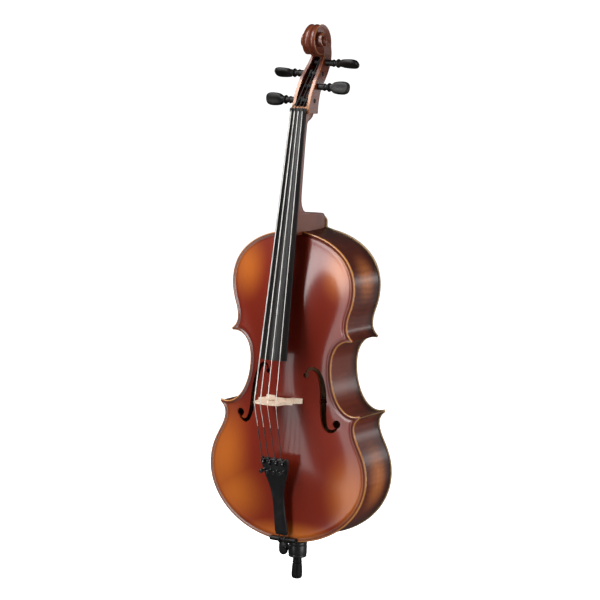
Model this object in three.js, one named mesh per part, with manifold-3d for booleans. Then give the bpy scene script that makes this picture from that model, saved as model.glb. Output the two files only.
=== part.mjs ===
// A half-size cello: carved arched plates on bent ribs round a real hollow body, with its blocks,
// linings, bass bar and sound post, a neck with pegbox and scroll, four pegs, a bridge, four strings,
// a tailpiece with four built-in fine tuners, and a sliding endpin with its clamp screw.
// Millimetres. +Z runs up the strings, +X is the treble side, -Y is the front (belly side).
// The origin is the middle of the flat end of the rubber tip, on the endpin's axis.
import * as THREE from "three";
import { mergeVertices } from "three/addons/utils/BufferGeometryUtils.js";
import Module from "manifold-3d";

const wasm = await Module();
wasm.setup();

// ---------- driving dimensions ----------
const GAP = 0.3; // between pieces that touch

const BODY_Z = 88.5; // bottom edge of the plates
const BODY_LENGTH = 644.5;
const LOWER_BOUT = { z: 146.5, half: 185.5 };
const WAIST = { z: 369.5, half: 95.5 };
const UPPER_BOUT = { z: 530.5, half: 143.5 };
const EDGE_FACE_Y = 56; // outer face of each plate at its edge, from the mid-rib plane
const PLATE = 4.5; // plate thickness
const BELLY_RISE = 20;
const BACK_RISE = 18;
const ARCH_MARGIN = 13; // flat border before the arch starts
const OVERHANG = 2.2; // plate edge beyond the ribs
const RIB = 1.6;
const RIB_Y = EDGE_FACE_Y - PLATE - GAP;
const LINING = { wide: 10, thick: 2.2 };

const NECK_TOP_Z = 965; // pegbox shoulders
const NUT_Z = 968; // lower face of the nut
const NUT_HEIGHT = 8;
const BOARD_END_Z = 473.5;
const BOARD = { nutHalf: 17.6, endHalf: 31.75, radius: 62 };
const HEEL = { frontHalf: 21, backHalf: 12, bottomZ: 723, backY: 51.2 };

const BRIDGE_Z = 387;
const BRIDGE = { footSpan: 83, footThick: 10.8, topThick: 3.2 };
const STRINGS = [
  { name: "c", nutX: -12.75, bridgeX: -25.2, tailX: -22.5, radius: 1.0 },
  { name: "g", nutX: -4.25, bridgeX: -8.4, tailX: -7.5, radius: 0.85 },
  { name: "d", nutX: 4.25, bridgeX: 8.4, tailX: 7.5, radius: 0.7 },
  { name: "a", nutX: 12.75, bridgeX: 25.2, tailX: 22.5, radius: 0.6 },
];
const NUT_CROWN_Y = -62.8; // string centres at the nut, on the centre line
const BRIDGE_CROWN_Y = -156.2; // string centres at the bridge, on the centre line
const CAMBER_RADIUS = 60; // of the string plane

// `turn` is how far each peg's flat head stands from upright, in degrees.
const PEGS = [
  { name: "c", side: -1, z: 991, y: -27, windX: -8, turn: 12 },
  { name: "g", side: -1, z: 1044.6, y: 5, windX: -6, turn: 53 },
  { name: "d", side: 1, z: 1067, y: 20, windX: 4.5, turn: 57 },
  { name: "a", side: 1, z: 1019, y: -14, windX: 8, turn: -14 },
];
const PEG = { headX: 52, endX: 92.4, nearRadius: 6.2, farRadius: 4.6, cheekX: 20.5 };
const WINDING = { half: 3, thick: 2 };

const TAIL_TOP = { y: -108, z: 270 };
const TAIL_TILT = THREE.MathUtils.degToRad(12.9);
const TAIL_LENGTH = 170;
const TUNER = { slotHalf: 3.4, leverHalf: 3, screwZ: -24, shank: 1.6, knob: 4.2, pivotY: 1, pivotZ: -7 };

const ROD = { radius: 5, topZ: 450, shoulderZ: 28, pointZ: 9 };
const TIP_TOP_Z = 45.6;
const COLLAR = { radius: 19.5, neck: 14, bottomZ: 46, topZ: 80, plug: 12.3, insideZ: 130 };
const CLAMP_Z = 62;

// ---------- materials ----------
const paint = (color, roughness, metalness = 0) =>
  new THREE.MeshStandardMaterial({ color, roughness, metalness });
const VARNISHED_SPRUCE = paint(0x8a3212, 0.25);
const VARNISHED_MAPLE = paint(0x5b1f0f, 0.25);
const RAW_SPRUCE = paint(0xd9b98a, 0.8);
const RAW_MAPLE = paint(0xe6cda2, 0.7);
const EBONY = paint(0x141313, 0.4);
const BLACK_PLASTIC = paint(0x161617, 0.45);
const RUBBER = paint(0x0d0d0d, 0.85);
const STEEL = paint(0xc4c6c8, 0.25, 1);

// ---------- solids ----------
function solid(geometry) {
  const bare = geometry.index ? geometry.toNonIndexed() : geometry.clone();
  bare.deleteAttribute("normal");
  bare.deleteAttribute("uv");
  const merged = mergeVertices(bare, 1e-3);
  return new wasm.Manifold(
    new wasm.Mesh({
      numProp: 3,
      vertProperties: merged.attributes.position.array,
      triVerts: new Uint32Array(merged.index.array),
    }),
  );
}

function geometryOf(body) {
  const mesh = body.getMesh();
  const geometry = new THREE.BufferGeometry();
  const positions = new THREE.BufferAttribute(new Float32Array(mesh.vertProperties), mesh.numProp);
  geometry.setAttribute("position", positions);
  geometry.setIndex(new THREE.BufferAttribute(new Uint32Array(mesh.triVerts), 1));
  geometry.computeVertexNormals();
  return geometry;
}

const joined = (parts) => parts.reduce((all, part) => all.add(part));
const cut = (body, tools) => tools.reduce((left, tool) => left.subtract(tool), body);

// A closed skin from points and triangles, turned so that its faces point outwards.
function skin(points, faces) {
  let volume = 0;
  const cross = new THREE.Vector3();
  for (const [a, b, c] of faces) volume += cross.crossVectors(points[a], points[b]).dot(points[c]);
  const order = volume < 0 ? [0, 2, 1] : [0, 1, 2];
  const corners = faces.flatMap((face) => order.map((k) => points[face[k]]));
  return new THREE.BufferGeometry().setFromPoints(corners);
}

// A skin through rings of points, all with the same count, closed at both ends by a fan.
function loft(rings) {
  const count = rings[0].length;
  const points = rings.flat();
  const faces = [];
  for (let r = 0; r + 1 < rings.length; r++)
    for (let i = 0; i < count; i++) {
      const j = (i + 1) % count;
      const low = r * count;
      const high = low + count;
      faces.push([low + i, low + j, high + j], [low + i, high + j, high + i]);
    }
  const fan = (ring, start, flip) => {
    const middle = ring.reduce((sum, p) => sum.add(p), new THREE.Vector3()).divideScalar(count);
    const centre = points.push(middle) - 1;
    for (let i = 0; i < count; i++) {
      const a = start + i;
      const b = start + ((i + 1) % count);
      faces.push(flip ? [centre, b, a] : [centre, a, b]);
    }
  };
  fan(rings[0], 0, true);
  fan(rings.at(-1), (rings.length - 1) * count, false);
  return skin(points, faces);
}

const shapeOf = (pairs) => new THREE.Shape(pairs.map(([a, b]) => new THREE.Vector2(a, b)));

function extrude(shape, depth, steps = 8) {
  return new THREE.ExtrudeGeometry(shape, { depth, bevelEnabled: false, curveSegments: steps });
}

// An outline of (x, z) pairs made solid between two values of y.
function slabY(shape, y0, y1, steps) {
  return extrude(shape, y1 - y0, steps).rotateX(Math.PI / 2).translate(0, y1, 0);
}

// An outline of (y, z) pairs made solid between two values of x.
function slabX(shape, x0, x1, steps) {
  const turn = new THREE.Matrix4().set(0, 0, 1, x0, 1, 0, 0, 0, 0, 1, 0, 0, 0, 0, 0, 1);
  return extrude(shape, x1 - x0, steps).applyMatrix4(turn);
}

// An outline of (x, y) pairs made solid between two values of z.
function slabZ(shape, z0, z1, steps) {
  return extrude(shape, z1 - z0, steps).translate(0, 0, z0);
}

function box(x0, x1, y0, y1, z0, z1) {
  const geometry = new THREE.BoxGeometry(x1 - x0, y1 - y0, z1 - z0);
  return geometry.translate((x0 + x1) / 2, (y0 + y1) / 2, (z0 + z1) / 2);
}

// A cone or cylinder along X from x0 (radius r0) to x1 (radius r1).
function rodX(x0, x1, r0, r1, y, z, sides = 16) {
  const geometry = new THREE.CylinderGeometry(r1, r0, x1 - x0, sides);
  return geometry.rotateZ(-Math.PI / 2).translate((x0 + x1) / 2, y, z);
}

function rodY(y0, y1, radius, x, z, sides = 16) {
  return new THREE.CylinderGeometry(radius, radius, y1 - y0, sides).translate(x, (y0 + y1) / 2, z);
}

function rodZ(z0, z1, radius, sides = 24) {
  const geometry = new THREE.CylinderGeometry(radius, radius, z1 - z0, sides).rotateX(Math.PI / 2);
  return geometry.translate(0, 0, (z0 + z1) / 2);
}

// A turned solid about the Z axis from (radius, z) pairs that close on themselves or on the axis.
function turned(pairs, sides = 24) {
  const profile = pairs.map(([r, z]) => new THREE.Vector2(r, z));
  return new THREE.LatheGeometry(profile, sides).rotateX(Math.PI / 2);
}

// A round wire through points, with flat mitred rings at the bends.
function wire(points, radius, sides = 8) {
  const tangents = points.map((p, i) => {
    const before = points[Math.max(0, i - 1)];
    const after = points[Math.min(points.length - 1, i + 1)];
    return after.clone().sub(before).normalize();
  });
  let across = new THREE.Vector3(1, 0, 0);
  const rings = points.map((p, i) => {
    across = across.clone().addScaledVector(tangents[i], -across.dot(tangents[i])).normalize();
    const up = new THREE.Vector3().crossVectors(tangents[i], across);
    return Array.from({ length: sides }, (_, k) => {
      const angle = (2 * Math.PI * k) / sides;
      return p
        .clone()
        .addScaledVector(across, radius * Math.cos(angle))
        .addScaledVector(up, radius * Math.sin(angle));
    });
  });
  return loft(rings);
}

// ---------- body outline ----------
// The right half of the plates' outline from bottom to top, as Bezier curves in (x, z) above BODY_Z.
// `spine` is where each end of the curve looks to on the centre line when the plate is filled in.
const OUTLINE = [
  { bout: "lower", spine: [60, 150], steps: 8, at: [0, 0, 102, 0, 185.5, 66, 185.5, 146.5] },
  { bout: "lower", spine: [150, 225], steps: 5, at: [185.5, 146.5, 185.5, 198.5, 154.5, 220.5, 153, 249.5] },
  { bout: "lower", spine: [225, 240], steps: 2, at: [153, 249.5, 152.6, 260.5, 157, 267.5, 166, 274] },
  { bout: "centre", spine: [243, 370], steps: 6, at: [163.5, 279.5, 126, 265.5, 95.5, 312.5, 95.5, 369.5] },
  { bout: "centre", spine: [370, 452], steps: 5, at: [95.5, 369.5, 95.5, 409.5, 116, 428.5, 140, 425] },
  { bout: "upper", spine: [458, 475], steps: 3, at: [143, 429, 133, 436.5, 129, 444.5, 129, 454.5] },
  { bout: "upper", spine: [475, 530], steps: 4, at: [129, 454.5, 129, 480.5, 143.5, 492.5, 143.5, 530.5] },
  { bout: "upper", spine: [530, 585], steps: 6, at: [143.5, 530.5, 143.5, 592.5, 92, 626.5, 38, 637] },
  { bout: "upper", spine: [585, 590], steps: 2, at: [38, 637, 25, 639.5, 10, 644.5, 0, 644.5] },
];

function bezier([x0, z0, x1, z1, x2, z2, x3, z3]) {
  const corners = [new THREE.Vector2(x0, z0), new THREE.Vector2(x1, z1)];
  corners.push(new THREE.Vector2(x2, z2), new THREE.Vector2(x3, z3));
  return new THREE.CubicBezierCurve(...corners);
}

// Outline points of the right half, each with the place on the spine that it looks to.
function halfOutline() {
  const stations = [];
  for (const { at, steps, spine } of OUTLINE) {
    const curve = bezier(at);
    for (let i = 0; i <= steps; i++) {
      const t = i / steps;
      const p = curve.getPoint(t);
      const last = stations.at(-1);
      if (last && Math.hypot(p.x - last.x, p.y - last.z) < 0.1) continue;
      stations.push({ x: p.x, z: p.y, spine: THREE.MathUtils.lerp(spine[0], spine[1], t) });
    }
  }
  return stations;
}

// One bout of the outline moved inwards by `inset`, as (x, z) pairs from bottom to top.
function insetBout(bout, inset) {
  const pairs = [];
  for (const piece of OUTLINE.filter((item) => item.bout === bout)) {
    const curve = bezier(piece.at);
    for (let i = pairs.length ? 1 : 0; i <= piece.steps; i++) {
      const t = i / piece.steps;
      const p = curve.getPoint(t);
      const along = curve.getTangent(t);
      pairs.push([p.x - inset * along.y, p.y + inset * along.x]);
    }
  }
  return pairs;
}

function crossing([ax, az], [bx, bz], [cx, cz], [dx, dz]) {
  const det = (bx - ax) * (dz - cz) - (bz - az) * (dx - cx);
  if (Math.abs(det) < 1e-9) return null;
  const s = ((cx - ax) * (dz - cz) - (cz - az) * (dx - cx)) / det;
  const t = ((cx - ax) * (bz - az) - (cz - az) * (bx - ax)) / det;
  if (s < 0 || s > 1 || t < 0 || t > 1) return null;
  return [ax + s * (bx - ax), az + s * (bz - az)];
}

// Cuts the end of one run of pairs and the start of the next where the two runs cross.
function trimAtCorner(first, second) {
  for (let i = first.length - 2; i >= 0; i--)
    for (let j = 0; j + 1 < second.length; j++) {
      const meet = crossing(first[i], first[i + 1], second[j], second[j + 1]);
      if (meet) return [[...first.slice(0, i + 1), meet], [meet, ...second.slice(j + 1)]];
    }
  return [first, second];
}

// The three bouts of the right half moved inwards, cut to each other at the corners.
function contour(inset) {
  let lower = insetBout("lower", inset);
  let centre = insetBout("centre", inset);
  let upper = insetBout("upper", inset);
  [lower, centre] = trimAtCorner(lower, centre);
  [centre, upper] = trimAtCorner(centre, upper);
  return { lower, centre, upper };
}

const mirrored = (pairs) => pairs.map(([x, z]) => [-x, z]);
const lifted = (pairs) => pairs.map(([x, z]) => [x, z + BODY_Z]);

// ---------- arching ----------
const ease = (t) => 0.5 - 0.5 * Math.cos(Math.PI * THREE.MathUtils.clamp(t, 0, 1));

function archHalfWidth(z) {
  const low = LOWER_BOUT.half - ARCH_MARGIN;
  const mid = WAIST.half - ARCH_MARGIN;
  const high = UPPER_BOUT.half - ARCH_MARGIN;
  if (z < LOWER_BOUT.z) {
    const t = (LOWER_BOUT.z - z) / (LOWER_BOUT.z - ARCH_MARGIN);
    return low * Math.sqrt(Math.max(0, 1 - t * t));
  }
  if (z < WAIST.z) return low + (mid - low) * ease((z - LOWER_BOUT.z) / (WAIST.z - LOWER_BOUT.z));
  if (z < UPPER_BOUT.z) return mid + (high - mid) * ease((z - WAIST.z) / (UPPER_BOUT.z - WAIST.z));
  const t = (z - UPPER_BOUT.z) / (BODY_LENGTH - ARCH_MARGIN - UPPER_BOUT.z);
  return high * Math.sqrt(Math.max(0, 1 - t * t));
}

// Height of the arch over the plate's edge, as a share of its rise; z is above BODY_Z.
function archShare(x, z) {
  const half = archHalfWidth(z);
  if (Math.abs(x) >= half) return 0;
  const across = 1 - ease((Math.abs(x) / half) ** 1.2);
  const fromEnds = Math.min((z - ARCH_MARGIN) / 190, (BODY_LENGTH - ARCH_MARGIN - z) / 150);
  return across * ease(fromEnds) ** 0.75;
}

const bellyY = (x, z) => -EDGE_FACE_Y - BELLY_RISE * archShare(x, z - BODY_Z);
const bellyInsideY = (x, z) => bellyY(x, z) + PLATE;
const backInsideY = (x, z) => EDGE_FACE_Y - PLATE + BACK_RISE * archShare(x, z - BODY_Z);

// ---------- plates ----------
const FILL = [0, 0.1, 0.28, 0.5, 0.75, 1]; // rings from the edge to the centre line

// An arched plate; `side` is -1 for the belly and 1 for the back.
function archedPlate(side, rise) {
  const right = halfOutline();
  const left = right.slice(1, -1).map((s) => ({ ...s, x: -s.x }));
  const stations = [...right, ...left.reverse()];
  const count = stations.length;
  const points = [];
  for (const under of [0, PLATE])
    for (const t of FILL)
      for (const s of stations) {
        const x = s.x * (1 - t);
        const z = THREE.MathUtils.lerp(s.z, s.spine, t);
        const y = side * (EDGE_FACE_Y - under + rise * archShare(x, z));
        points.push(new THREE.Vector3(x, y, z + BODY_Z));
      }
  const faces = [];
  const quad = (a, b, c, d) => faces.push([a, b, c], [a, c, d]);
  const inside = FILL.length * count;
  for (let i = 0; i < count; i++) {
    const j = (i + 1) % count;
    quad(i, j, inside + j, inside + i);
    for (let r = 0; r + 1 < FILL.length; r++) {
      const near = r * count;
      const far = near + count;
      quad(near + j, near + i, far + i, far + j);
      quad(inside + near + i, inside + near + j, inside + far + j, inside + far + i);
    }
  }
  return solid(skin(points, faces));
}

// The f-hole on the treble side: a curved stem that swells in the middle, with a round eye at each end.
const F_STEM = [
  [44.6, 440], [46.5, 449], [55.7, 454], [68, 446], [76, 427], [80.5, 404], [82.5, 380], [85.5, 354],
  [92, 335.5], [103, 330], [113, 336], [113.3, 345.4],
];
const F_EYES = [{ x: 44.6, z: 440, radius: 5.6 }, { x: 113.3, z: 345.4, radius: 8.4 }];

function fHoleCutter(side) {
  const stem = new THREE.CatmullRomCurve3(F_STEM.map(([x, z]) => new THREE.Vector3(x, 0, z)));
  const steps = 22;
  const outer = [];
  const inner = [];
  for (let i = 0; i <= steps; i++) {
    const t = i / steps;
    const p = stem.getPoint(t);
    const along = stem.getTangent(t);
    const half = 2 + 4.8 * Math.sin(Math.PI * t) ** 2;
    outer.push([side * (p.x + half * along.z), p.z - half * along.x]);
    inner.push([side * (p.x - half * along.z), p.z + half * along.x]);
  }
  const front = -EDGE_FACE_Y - BELLY_RISE - 5;
  const slot = solid(slabY(shapeOf([...outer, ...inner.reverse()]), front, -40));
  const eyes = F_EYES.map((eye) => solid(rodY(front, -40, eye.radius, side * eye.x, eye.z, 14)));
  return joined([slot, ...eyes]);
}

function topPlate() {
  const notches = [solid(saddleBlock(GAP)), heelBlock(GAP)];
  return cut(archedPlate(-1, BELLY_RISE), [fHoleCutter(-1), fHoleCutter(1), ...notches]);
}

function backPlate() {
  const top = BODY_Z + BODY_LENGTH;
  const button = new THREE.Shape().absarc(0, top + 8, 14.5, 0, Math.PI);
  button.lineTo(-14.5, top - 10);
  button.lineTo(14.5, top - 10);
  const tab = solid(slabY(button, EDGE_FACE_Y - PLATE, EDGE_FACE_Y, 12));
  return archedPlate(1, BACK_RISE).add(tab);
}

// ---------- ribs, blocks, linings ----------
// A band between two runs of pairs that lie side by side.
const band = (outer, inner) => shapeOf(lifted([...outer, ...inner.slice().reverse()]));

// Draws both ends of a run back a little, so that neighbours keep their gap.
function shortened(pairs, amount) {
  const moved = pairs.map((p) => [...p]);
  const pull = (end, next) => {
    const length = Math.hypot(next[0] - end[0], next[1] - end[1]);
    end[0] += ((next[0] - end[0]) * amount) / length;
    end[1] += ((next[1] - end[1]) * amount) / length;
  };
  pull(moved[0], moved[1]);
  pull(moved.at(-1), moved.at(-2));
  return moved;
}

function rib(bout, side) {
  const outer = shortened(contour(OVERHANG)[bout], GAP);
  const inner = shortened(contour(OVERHANG + RIB)[bout], GAP);
  const [a, b] = side < 0 ? [mirrored(outer), mirrored(inner)] : [outer, inner];
  const strip = solid(slabY(band(a, b), -RIB_Y, RIB_Y));
  if (bout === "lower") return strip.subtract(solid(rodZ(80, 110, COLLAR.plug + 0.5)));
  return bout === "upper" ? strip.subtract(heelBlock(GAP)) : strip;
}

const INSIDE = OVERHANG + RIB + GAP; // inset of everything glued to the inside of the ribs

// One lining: a strip all round the inside of the ribs, stopping short of the neck's root.
function liningAt(face, grow = 0) {
  const openPath = (inset) => {
    const { lower, centre, upper } = contour(inset);
    const right = [...lower, ...centre.slice(1), ...upper.slice(1)].filter(([x, z]) => z < 600 || x > 25);
    return [...mirrored(right).reverse(), ...right.slice(1)];
  };
  const shape = band(openPath(INSIDE - grow), openPath(INSIDE + LINING.thick + grow));
  const edge = face * (RIB_Y + grow);
  const far = face * (RIB_Y - LINING.wide - grow);
  return solid(slabY(shape, Math.min(edge, far), Math.max(edge, far)));
}

const blockCuts = () => [liningAt(-1, GAP), liningAt(1, GAP)];

function cornerBlock(which, side) {
  const { lower, centre, upper } = contour(INSIDE);
  const pairs = which === "lower" ? [...lower.slice(-3), ...centre.slice(1, 4)]
    : [...centre.slice(-4), ...upper.slice(1, 4)];
  const shape = shapeOf(lifted(side < 0 ? mirrored(pairs) : pairs));
  return cut(solid(slabY(shape, -RIB_Y, RIB_Y)), blockCuts());
}

// The end blocks: a slice of the inside of the body at its bottom or top.
function endBlock(half, z0, z1) {
  const { lower, centre, upper } = contour(INSIDE);
  const right = [...lower, ...centre.slice(1), ...upper.slice(1)];
  const whole = shapeOf(lifted([...right, ...mirrored(right).reverse()]));
  const inside = solid(slabY(whole, -RIB_Y, RIB_Y));
  return cut(inside.intersect(solid(box(-half, half, -60, 60, z0, z1))), blockCuts());
}

function bottomBlock() {
  return endBlock(48, BODY_Z, BODY_Z + 24).subtract(solid(rodZ(80, 140, COLLAR.plug + 0.5)));
}

function topBlock() {
  return endBlock(44, BODY_Z + BODY_LENGTH - 30, BODY_Z + BODY_LENGTH).subtract(heelBlock(GAP));
}

// ---------- bass bar and sound post ----------
const BASS_BAR = { x: -27, half: 4.5, z0: 150, z1: 650, deep: 20 };
const SOUND_POST = { x: 30, z: 372, radius: 4.8 };

// Both are left a little long and then cut to the insides of the plates.
const TOO_LONG = 1.5;

function bassBar(belly) {
  const { x, half, z0, z1, deep } = BASS_BAR;
  const steps = 12;
  const glued = [];
  const free = [];
  for (let i = 0; i <= steps; i++) {
    const t = i / steps;
    const z = z0 + (z1 - z0) * t;
    const y = bellyInsideY(x, z);
    glued.push([y - TOO_LONG, z]);
    free.push([y + 4 + (deep - 4) * Math.sin(Math.PI * t) ** 0.8, z]);
  }
  const bar = solid(slabX(shapeOf([...glued, ...free.reverse()]), x - half, x + half));
  return bar.subtract(belly.translate(0, GAP, 0));
}

function soundPost(belly, back) {
  const { x, z, radius } = SOUND_POST;
  const post = solid(rodY(bellyInsideY(x, z) - TOO_LONG, backInsideY(x, z) + TOO_LONG, radius, x, z, 16));
  return cut(post, [belly.translate(0, GAP, 0), back.translate(0, -GAP, 0)]);
}

// ---------- neck, pegbox, scroll ----------
const NECK_SLOPE = 0.1375; // how fast the neck's front face comes forward, per mm down
const boardBackY = (z) => -53.5 - (NUT_Z - z) * NECK_SLOPE;
const neckFaceY = (z) => boardBackY(z) + GAP;

// The root of the neck, which stands in a mortise of the top block and on the back's button.
function heelBlock(grow = 0) {
  const { frontHalf, backHalf, bottomZ, backY } = HEEL;
  const side = new THREE.Shape();
  side.moveTo(neckFaceY(bottomZ) - grow, bottomZ - grow);
  side.lineTo(neckFaceY(812) - grow, 812);
  side.lineTo(-53, 812);
  side.bezierCurveTo(-52, 785, -50, 769, -34, 767);
  side.lineTo(40, 761);
  side.bezierCurveTo(48, 760.5, backY, 757.5, backY + grow, 750);
  side.lineTo(backY + grow, bottomZ - grow);
  const profile = solid(slabX(side, -30, 30, 6));
  const front = -95;
  const wide = frontHalf + grow + 0.4;
  const narrow = backHalf + grow;
  const plan = [[-wide, front], [wide, front], [narrow, backY + 1], [-narrow, backY + 1]];
  return profile.intersect(solid(slabZ(shapeOf(plan), bottomZ - 1, 830)));
}

// Cross-sections of the handle: z, half-width at the flat front, and y of the rounded back.
const SHAFT = [
  [760, 21, -42], [800, 20.5, -51.5], [850, 20, -48.5], [900, 19, -43.5], [944, 18.4, -38.3],
  [949, 18.6, -35], [952, 18.8, -28], [956, 19.6, -17], [960, 20, -12.5], [966, 20.4, -11],
];

function shaft() {
  const sides = 10;
  const rings = SHAFT.map(([z, half, backY]) => {
    const front = neckFaceY(z);
    return Array.from({ length: sides + 1 }, (_, i) => {
      const angle = (Math.PI * i) / sides;
      const reach = Math.sin(angle) ** 0.75;
      return new THREE.Vector3(half * Math.cos(angle), front + (backY - front) * reach, z);
    });
  });
  return solid(loft(rings));
}

// Side view of the head as (y, z): up the open front of the pegbox, round the scroll, down the back.
const HEAD_FRONT = [[-50.5, NECK_TOP_Z], [-48, 977], [-42, 994], [-36, 1009], [-28, 1022], [-20, 1035.5],
  [-9, 1048.6], [2, 1062], [12, 1075], [17, 1086]];
const SCROLL = { y: 4, z: 1111, turns: [[2, 1082], [-12, 1085], [-22, 1095], [-25, 1107], [-22, 1121],
  [-13, 1134], [0, 1142.5], [9, 1144.6], [21, 1139], [32.5, 1128], [41, 1113]] };
const HEAD_BACK = [[46, 1093], [44, 1074], [36, 1059], [26, 1046], [16, 1034], [6, 1022], [-2, 1010],
  [-7, 995], [-10, 980], [-11, NECK_TOP_Z]];
const EYES = [[17, 19], [11.5, 23.5], [6.5, 28]]; // radius and reach of each turn of the volute

function headBlock() {
  const outline = shapeOf([...HEAD_FRONT, ...SCROLL.turns, ...HEAD_BACK]);
  const taper = [[20.5, NECK_TOP_Z - 1], [20.5, 1040], [15.5, 1078], [15, 1105], [13, 1146]];
  const front = shapeOf([...taper, ...taper.map(([x, z]) => [-x, z]).reverse()]);
  const block = solid(slabX(outline, -22, 22)).intersect(solid(slabY(front, -60, 60)));
  const volutes = EYES.map(([radius, reach]) =>
    solid(rodX(-reach, reach, radius, radius, SCROLL.y - 0.4 * (17 - radius), SCROLL.z, 16)));
  return joined([block, ...volutes]);
}

// The hollow of the pegbox, open to the front, with a floor that follows the back.
function pegboxHollow() {
  const mouth = HEAD_FRONT.slice(1, -1).map(([y, z]) => [y - 12, z]);
  const floor = [[4, 1079], [33, 1079], [31, 1070], [25, 1058], [19, 1047], [10, 1036], [0, 1024],
    [-7, 1013], [-13, 998], [-17, 982], [-18, 979]];
  const side = shapeOf([[-60, 979], ...mouth.slice(1), ...floor]);
  const taper = [[13.5, 975], [13, 1040], [9, 1080]];
  const front = shapeOf([...taper, ...taper.map(([x, z]) => [-x, z]).reverse()]);
  return solid(slabX(side, -22, 22)).intersect(solid(slabY(front, -70, 60)));
}

function pegHole({ side, y, z }) {
  const near = PEG.nearRadius + GAP;
  const far = PEG.farRadius + GAP;
  const reach = PEG.cheekX + 3;
  return solid(rodX(-reach, reach, side > 0 ? far : near, side > 0 ? near : far, y, z, 16));
}

function neck() {
  const wood = joined([heelBlock(), shaft(), headBlock()]);
  return cut(wood, [pegboxHollow(), ...PEGS.map(pegHole)]);
}

// ---------- fingerboard and nut ----------
const camber = (x, radius) => radius - Math.sqrt(radius * radius - x * x);
const boardCrownY = (z) => THREE.MathUtils.lerp(-61.2, -136, (NUT_Z - z) / (NUT_Z - BOARD_END_Z));

function fingerboard() {
  const steps = 8;
  const ring = (z, half) => {
    const top = Array.from({ length: steps + 1 }, (_, i) => {
      const x = half * (1 - (2 * i) / steps);
      return new THREE.Vector3(x, boardCrownY(z) + camber(x, BOARD.radius), z);
    });
    const flat = boardBackY(z);
    return [...top, new THREE.Vector3(-half + 0.6, flat, z), new THREE.Vector3(half - 0.6, flat, z)];
  };
  const top = NUT_Z - GAP;
  const whole = solid(loft([ring(BOARD_END_Z, BOARD.endHalf), ring(top, BOARD.nutHalf)]));
  return whole.subtract(solid(boardHollow()));
}

// The scooped underside of the part of the board that stands free over the belly.
function boardHollow() {
  const { endHalf } = BOARD;
  const ring = (z, half, deep) => [[-half, 6], [half, 6], [half * 0.75, -deep], [-half * 0.75, -deep]]
    .map(([x, y]) => new THREE.Vector3(x, boardBackY(z) + y, z));
  return loft([ring(BOARD_END_Z - 1, endHalf - 6, 6), ring(690, 17, 3)]);
}

function nut() {
  const steps = 6;
  const half = 18.4;
  const top = Array.from({ length: steps + 1 }, (_, i) => {
    const x = half * (1 - (2 * i) / steps);
    return [x, NUT_CROWN_Y + 1.4 + camber(x, CAMBER_RADIUS)];
  });
  const section = shapeOf([...top, [-half, -52.9], [half, -52.9]]);
  return slabZ(section, NUT_Z, NUT_Z + NUT_HEIGHT);
}

// ---------- saddle, bridge ----------
function saddleBlock(grow = 0) {
  const low = BODY_Z + 0.1 - grow;
  const profile = [[-51.8 + grow, low], [-62, low], [-64.6, low + 1], [-66.5, low + 4.4],
    [-66.5, low + 7], [-64, low + 9.4 + 2 * grow], [-51.8 + grow, low + 9.4 + 2 * grow]];
  return slabX(shapeOf(profile), -30 - grow, 30 + grow);
}

const stringBridgeY = (x) => BRIDGE_CROWN_Y + camber(x, CAMBER_RADIUS);
const stringNutY = (x) => NUT_CROWN_Y + camber(x, CAMBER_RADIUS);

// Front view of the bridge as (x, y), right half from the foot to the crown.
function bridgeOutline() {
  const foot = BRIDGE.footSpan / 2;
  const sole = (x) => bellyY(x, BRIDGE_Z) - 0.45;
  const right = [[20, sole(20)], [31, sole(31)], [foot, sole(foot)], [foot, sole(foot) - 5], [36, -82],
    [31.5, -88], [30.5, -97], [34, -104], [38.5, -108], [38, -113], [31, -117], [28.6, -124],
    [28.6, -138]];
  const crown = [28.6, 20, 10, 0].map((x) => [x, stringBridgeY(x) + 1.4]);
  const arch = [[20, -80.5], [15, -85.5], [8, -88.8]];
  const half = [...arch.reverse(), ...right, ...crown];
  return shapeOf([...half, ...half.slice(0, -1).map(([x, y]) => [-x, y]).reverse()]);
}

function bridge() {
  const outline = bridgeOutline();
  const heart = new THREE.Shape();
  heart.moveTo(0, -111);
  heart.bezierCurveTo(4, -114, 9.5, -119, 7, -125);
  heart.bezierCurveTo(5, -128.5, 1, -127.5, 0, -124);
  heart.bezierCurveTo(-1, -127.5, -5, -128.5, -7, -125);
  heart.bezierCurveTo(-9.5, -119, -4, -114, 0, -111);
  const kidney = (side) => new THREE.Shape().absellipse(side * 24, -104.5, 7, 4.5, 0, 2 * Math.PI);
  const blank = solid(slabZ(outline, BRIDGE_Z - 8, BRIDGE_Z + 8));
  const holes = [heart, kidney(-1), kidney(1)].map((s) => solid(slabZ(s, BRIDGE_Z - 9, BRIDGE_Z + 9, 4)));
  const thick = BRIDGE.footThick / 2;
  const thin = BRIDGE.topThick / 2;
  const wedge = [[-60, BRIDGE_Z - thick], [-60, BRIDGE_Z + thick], [-165, BRIDGE_Z + thin - 0.2],
    [-165, BRIDGE_Z - thin + 0.2]];
  return cut(blank, holes).intersect(solid(slabX(shapeOf(wedge), -60, 60)));
}

// ---------- pegs and their windings ----------
// Half-section of a peg along its own axis: distance from the middle plane of the pegbox, and radius.
const PEG_PROFILE = [[-PEG.cheekX, 0], [-PEG.cheekX, PEG.farRadius], [PEG.cheekX, PEG.nearRadius],
  [34, 6.6], [35, 7.6], [37, 7.6], [38, 6.2], [43, 6.2], [45, 8], [48, 8], [50, 6.8], [PEG.headX, 6.2],
  [PEG.headX, 0]];

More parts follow.
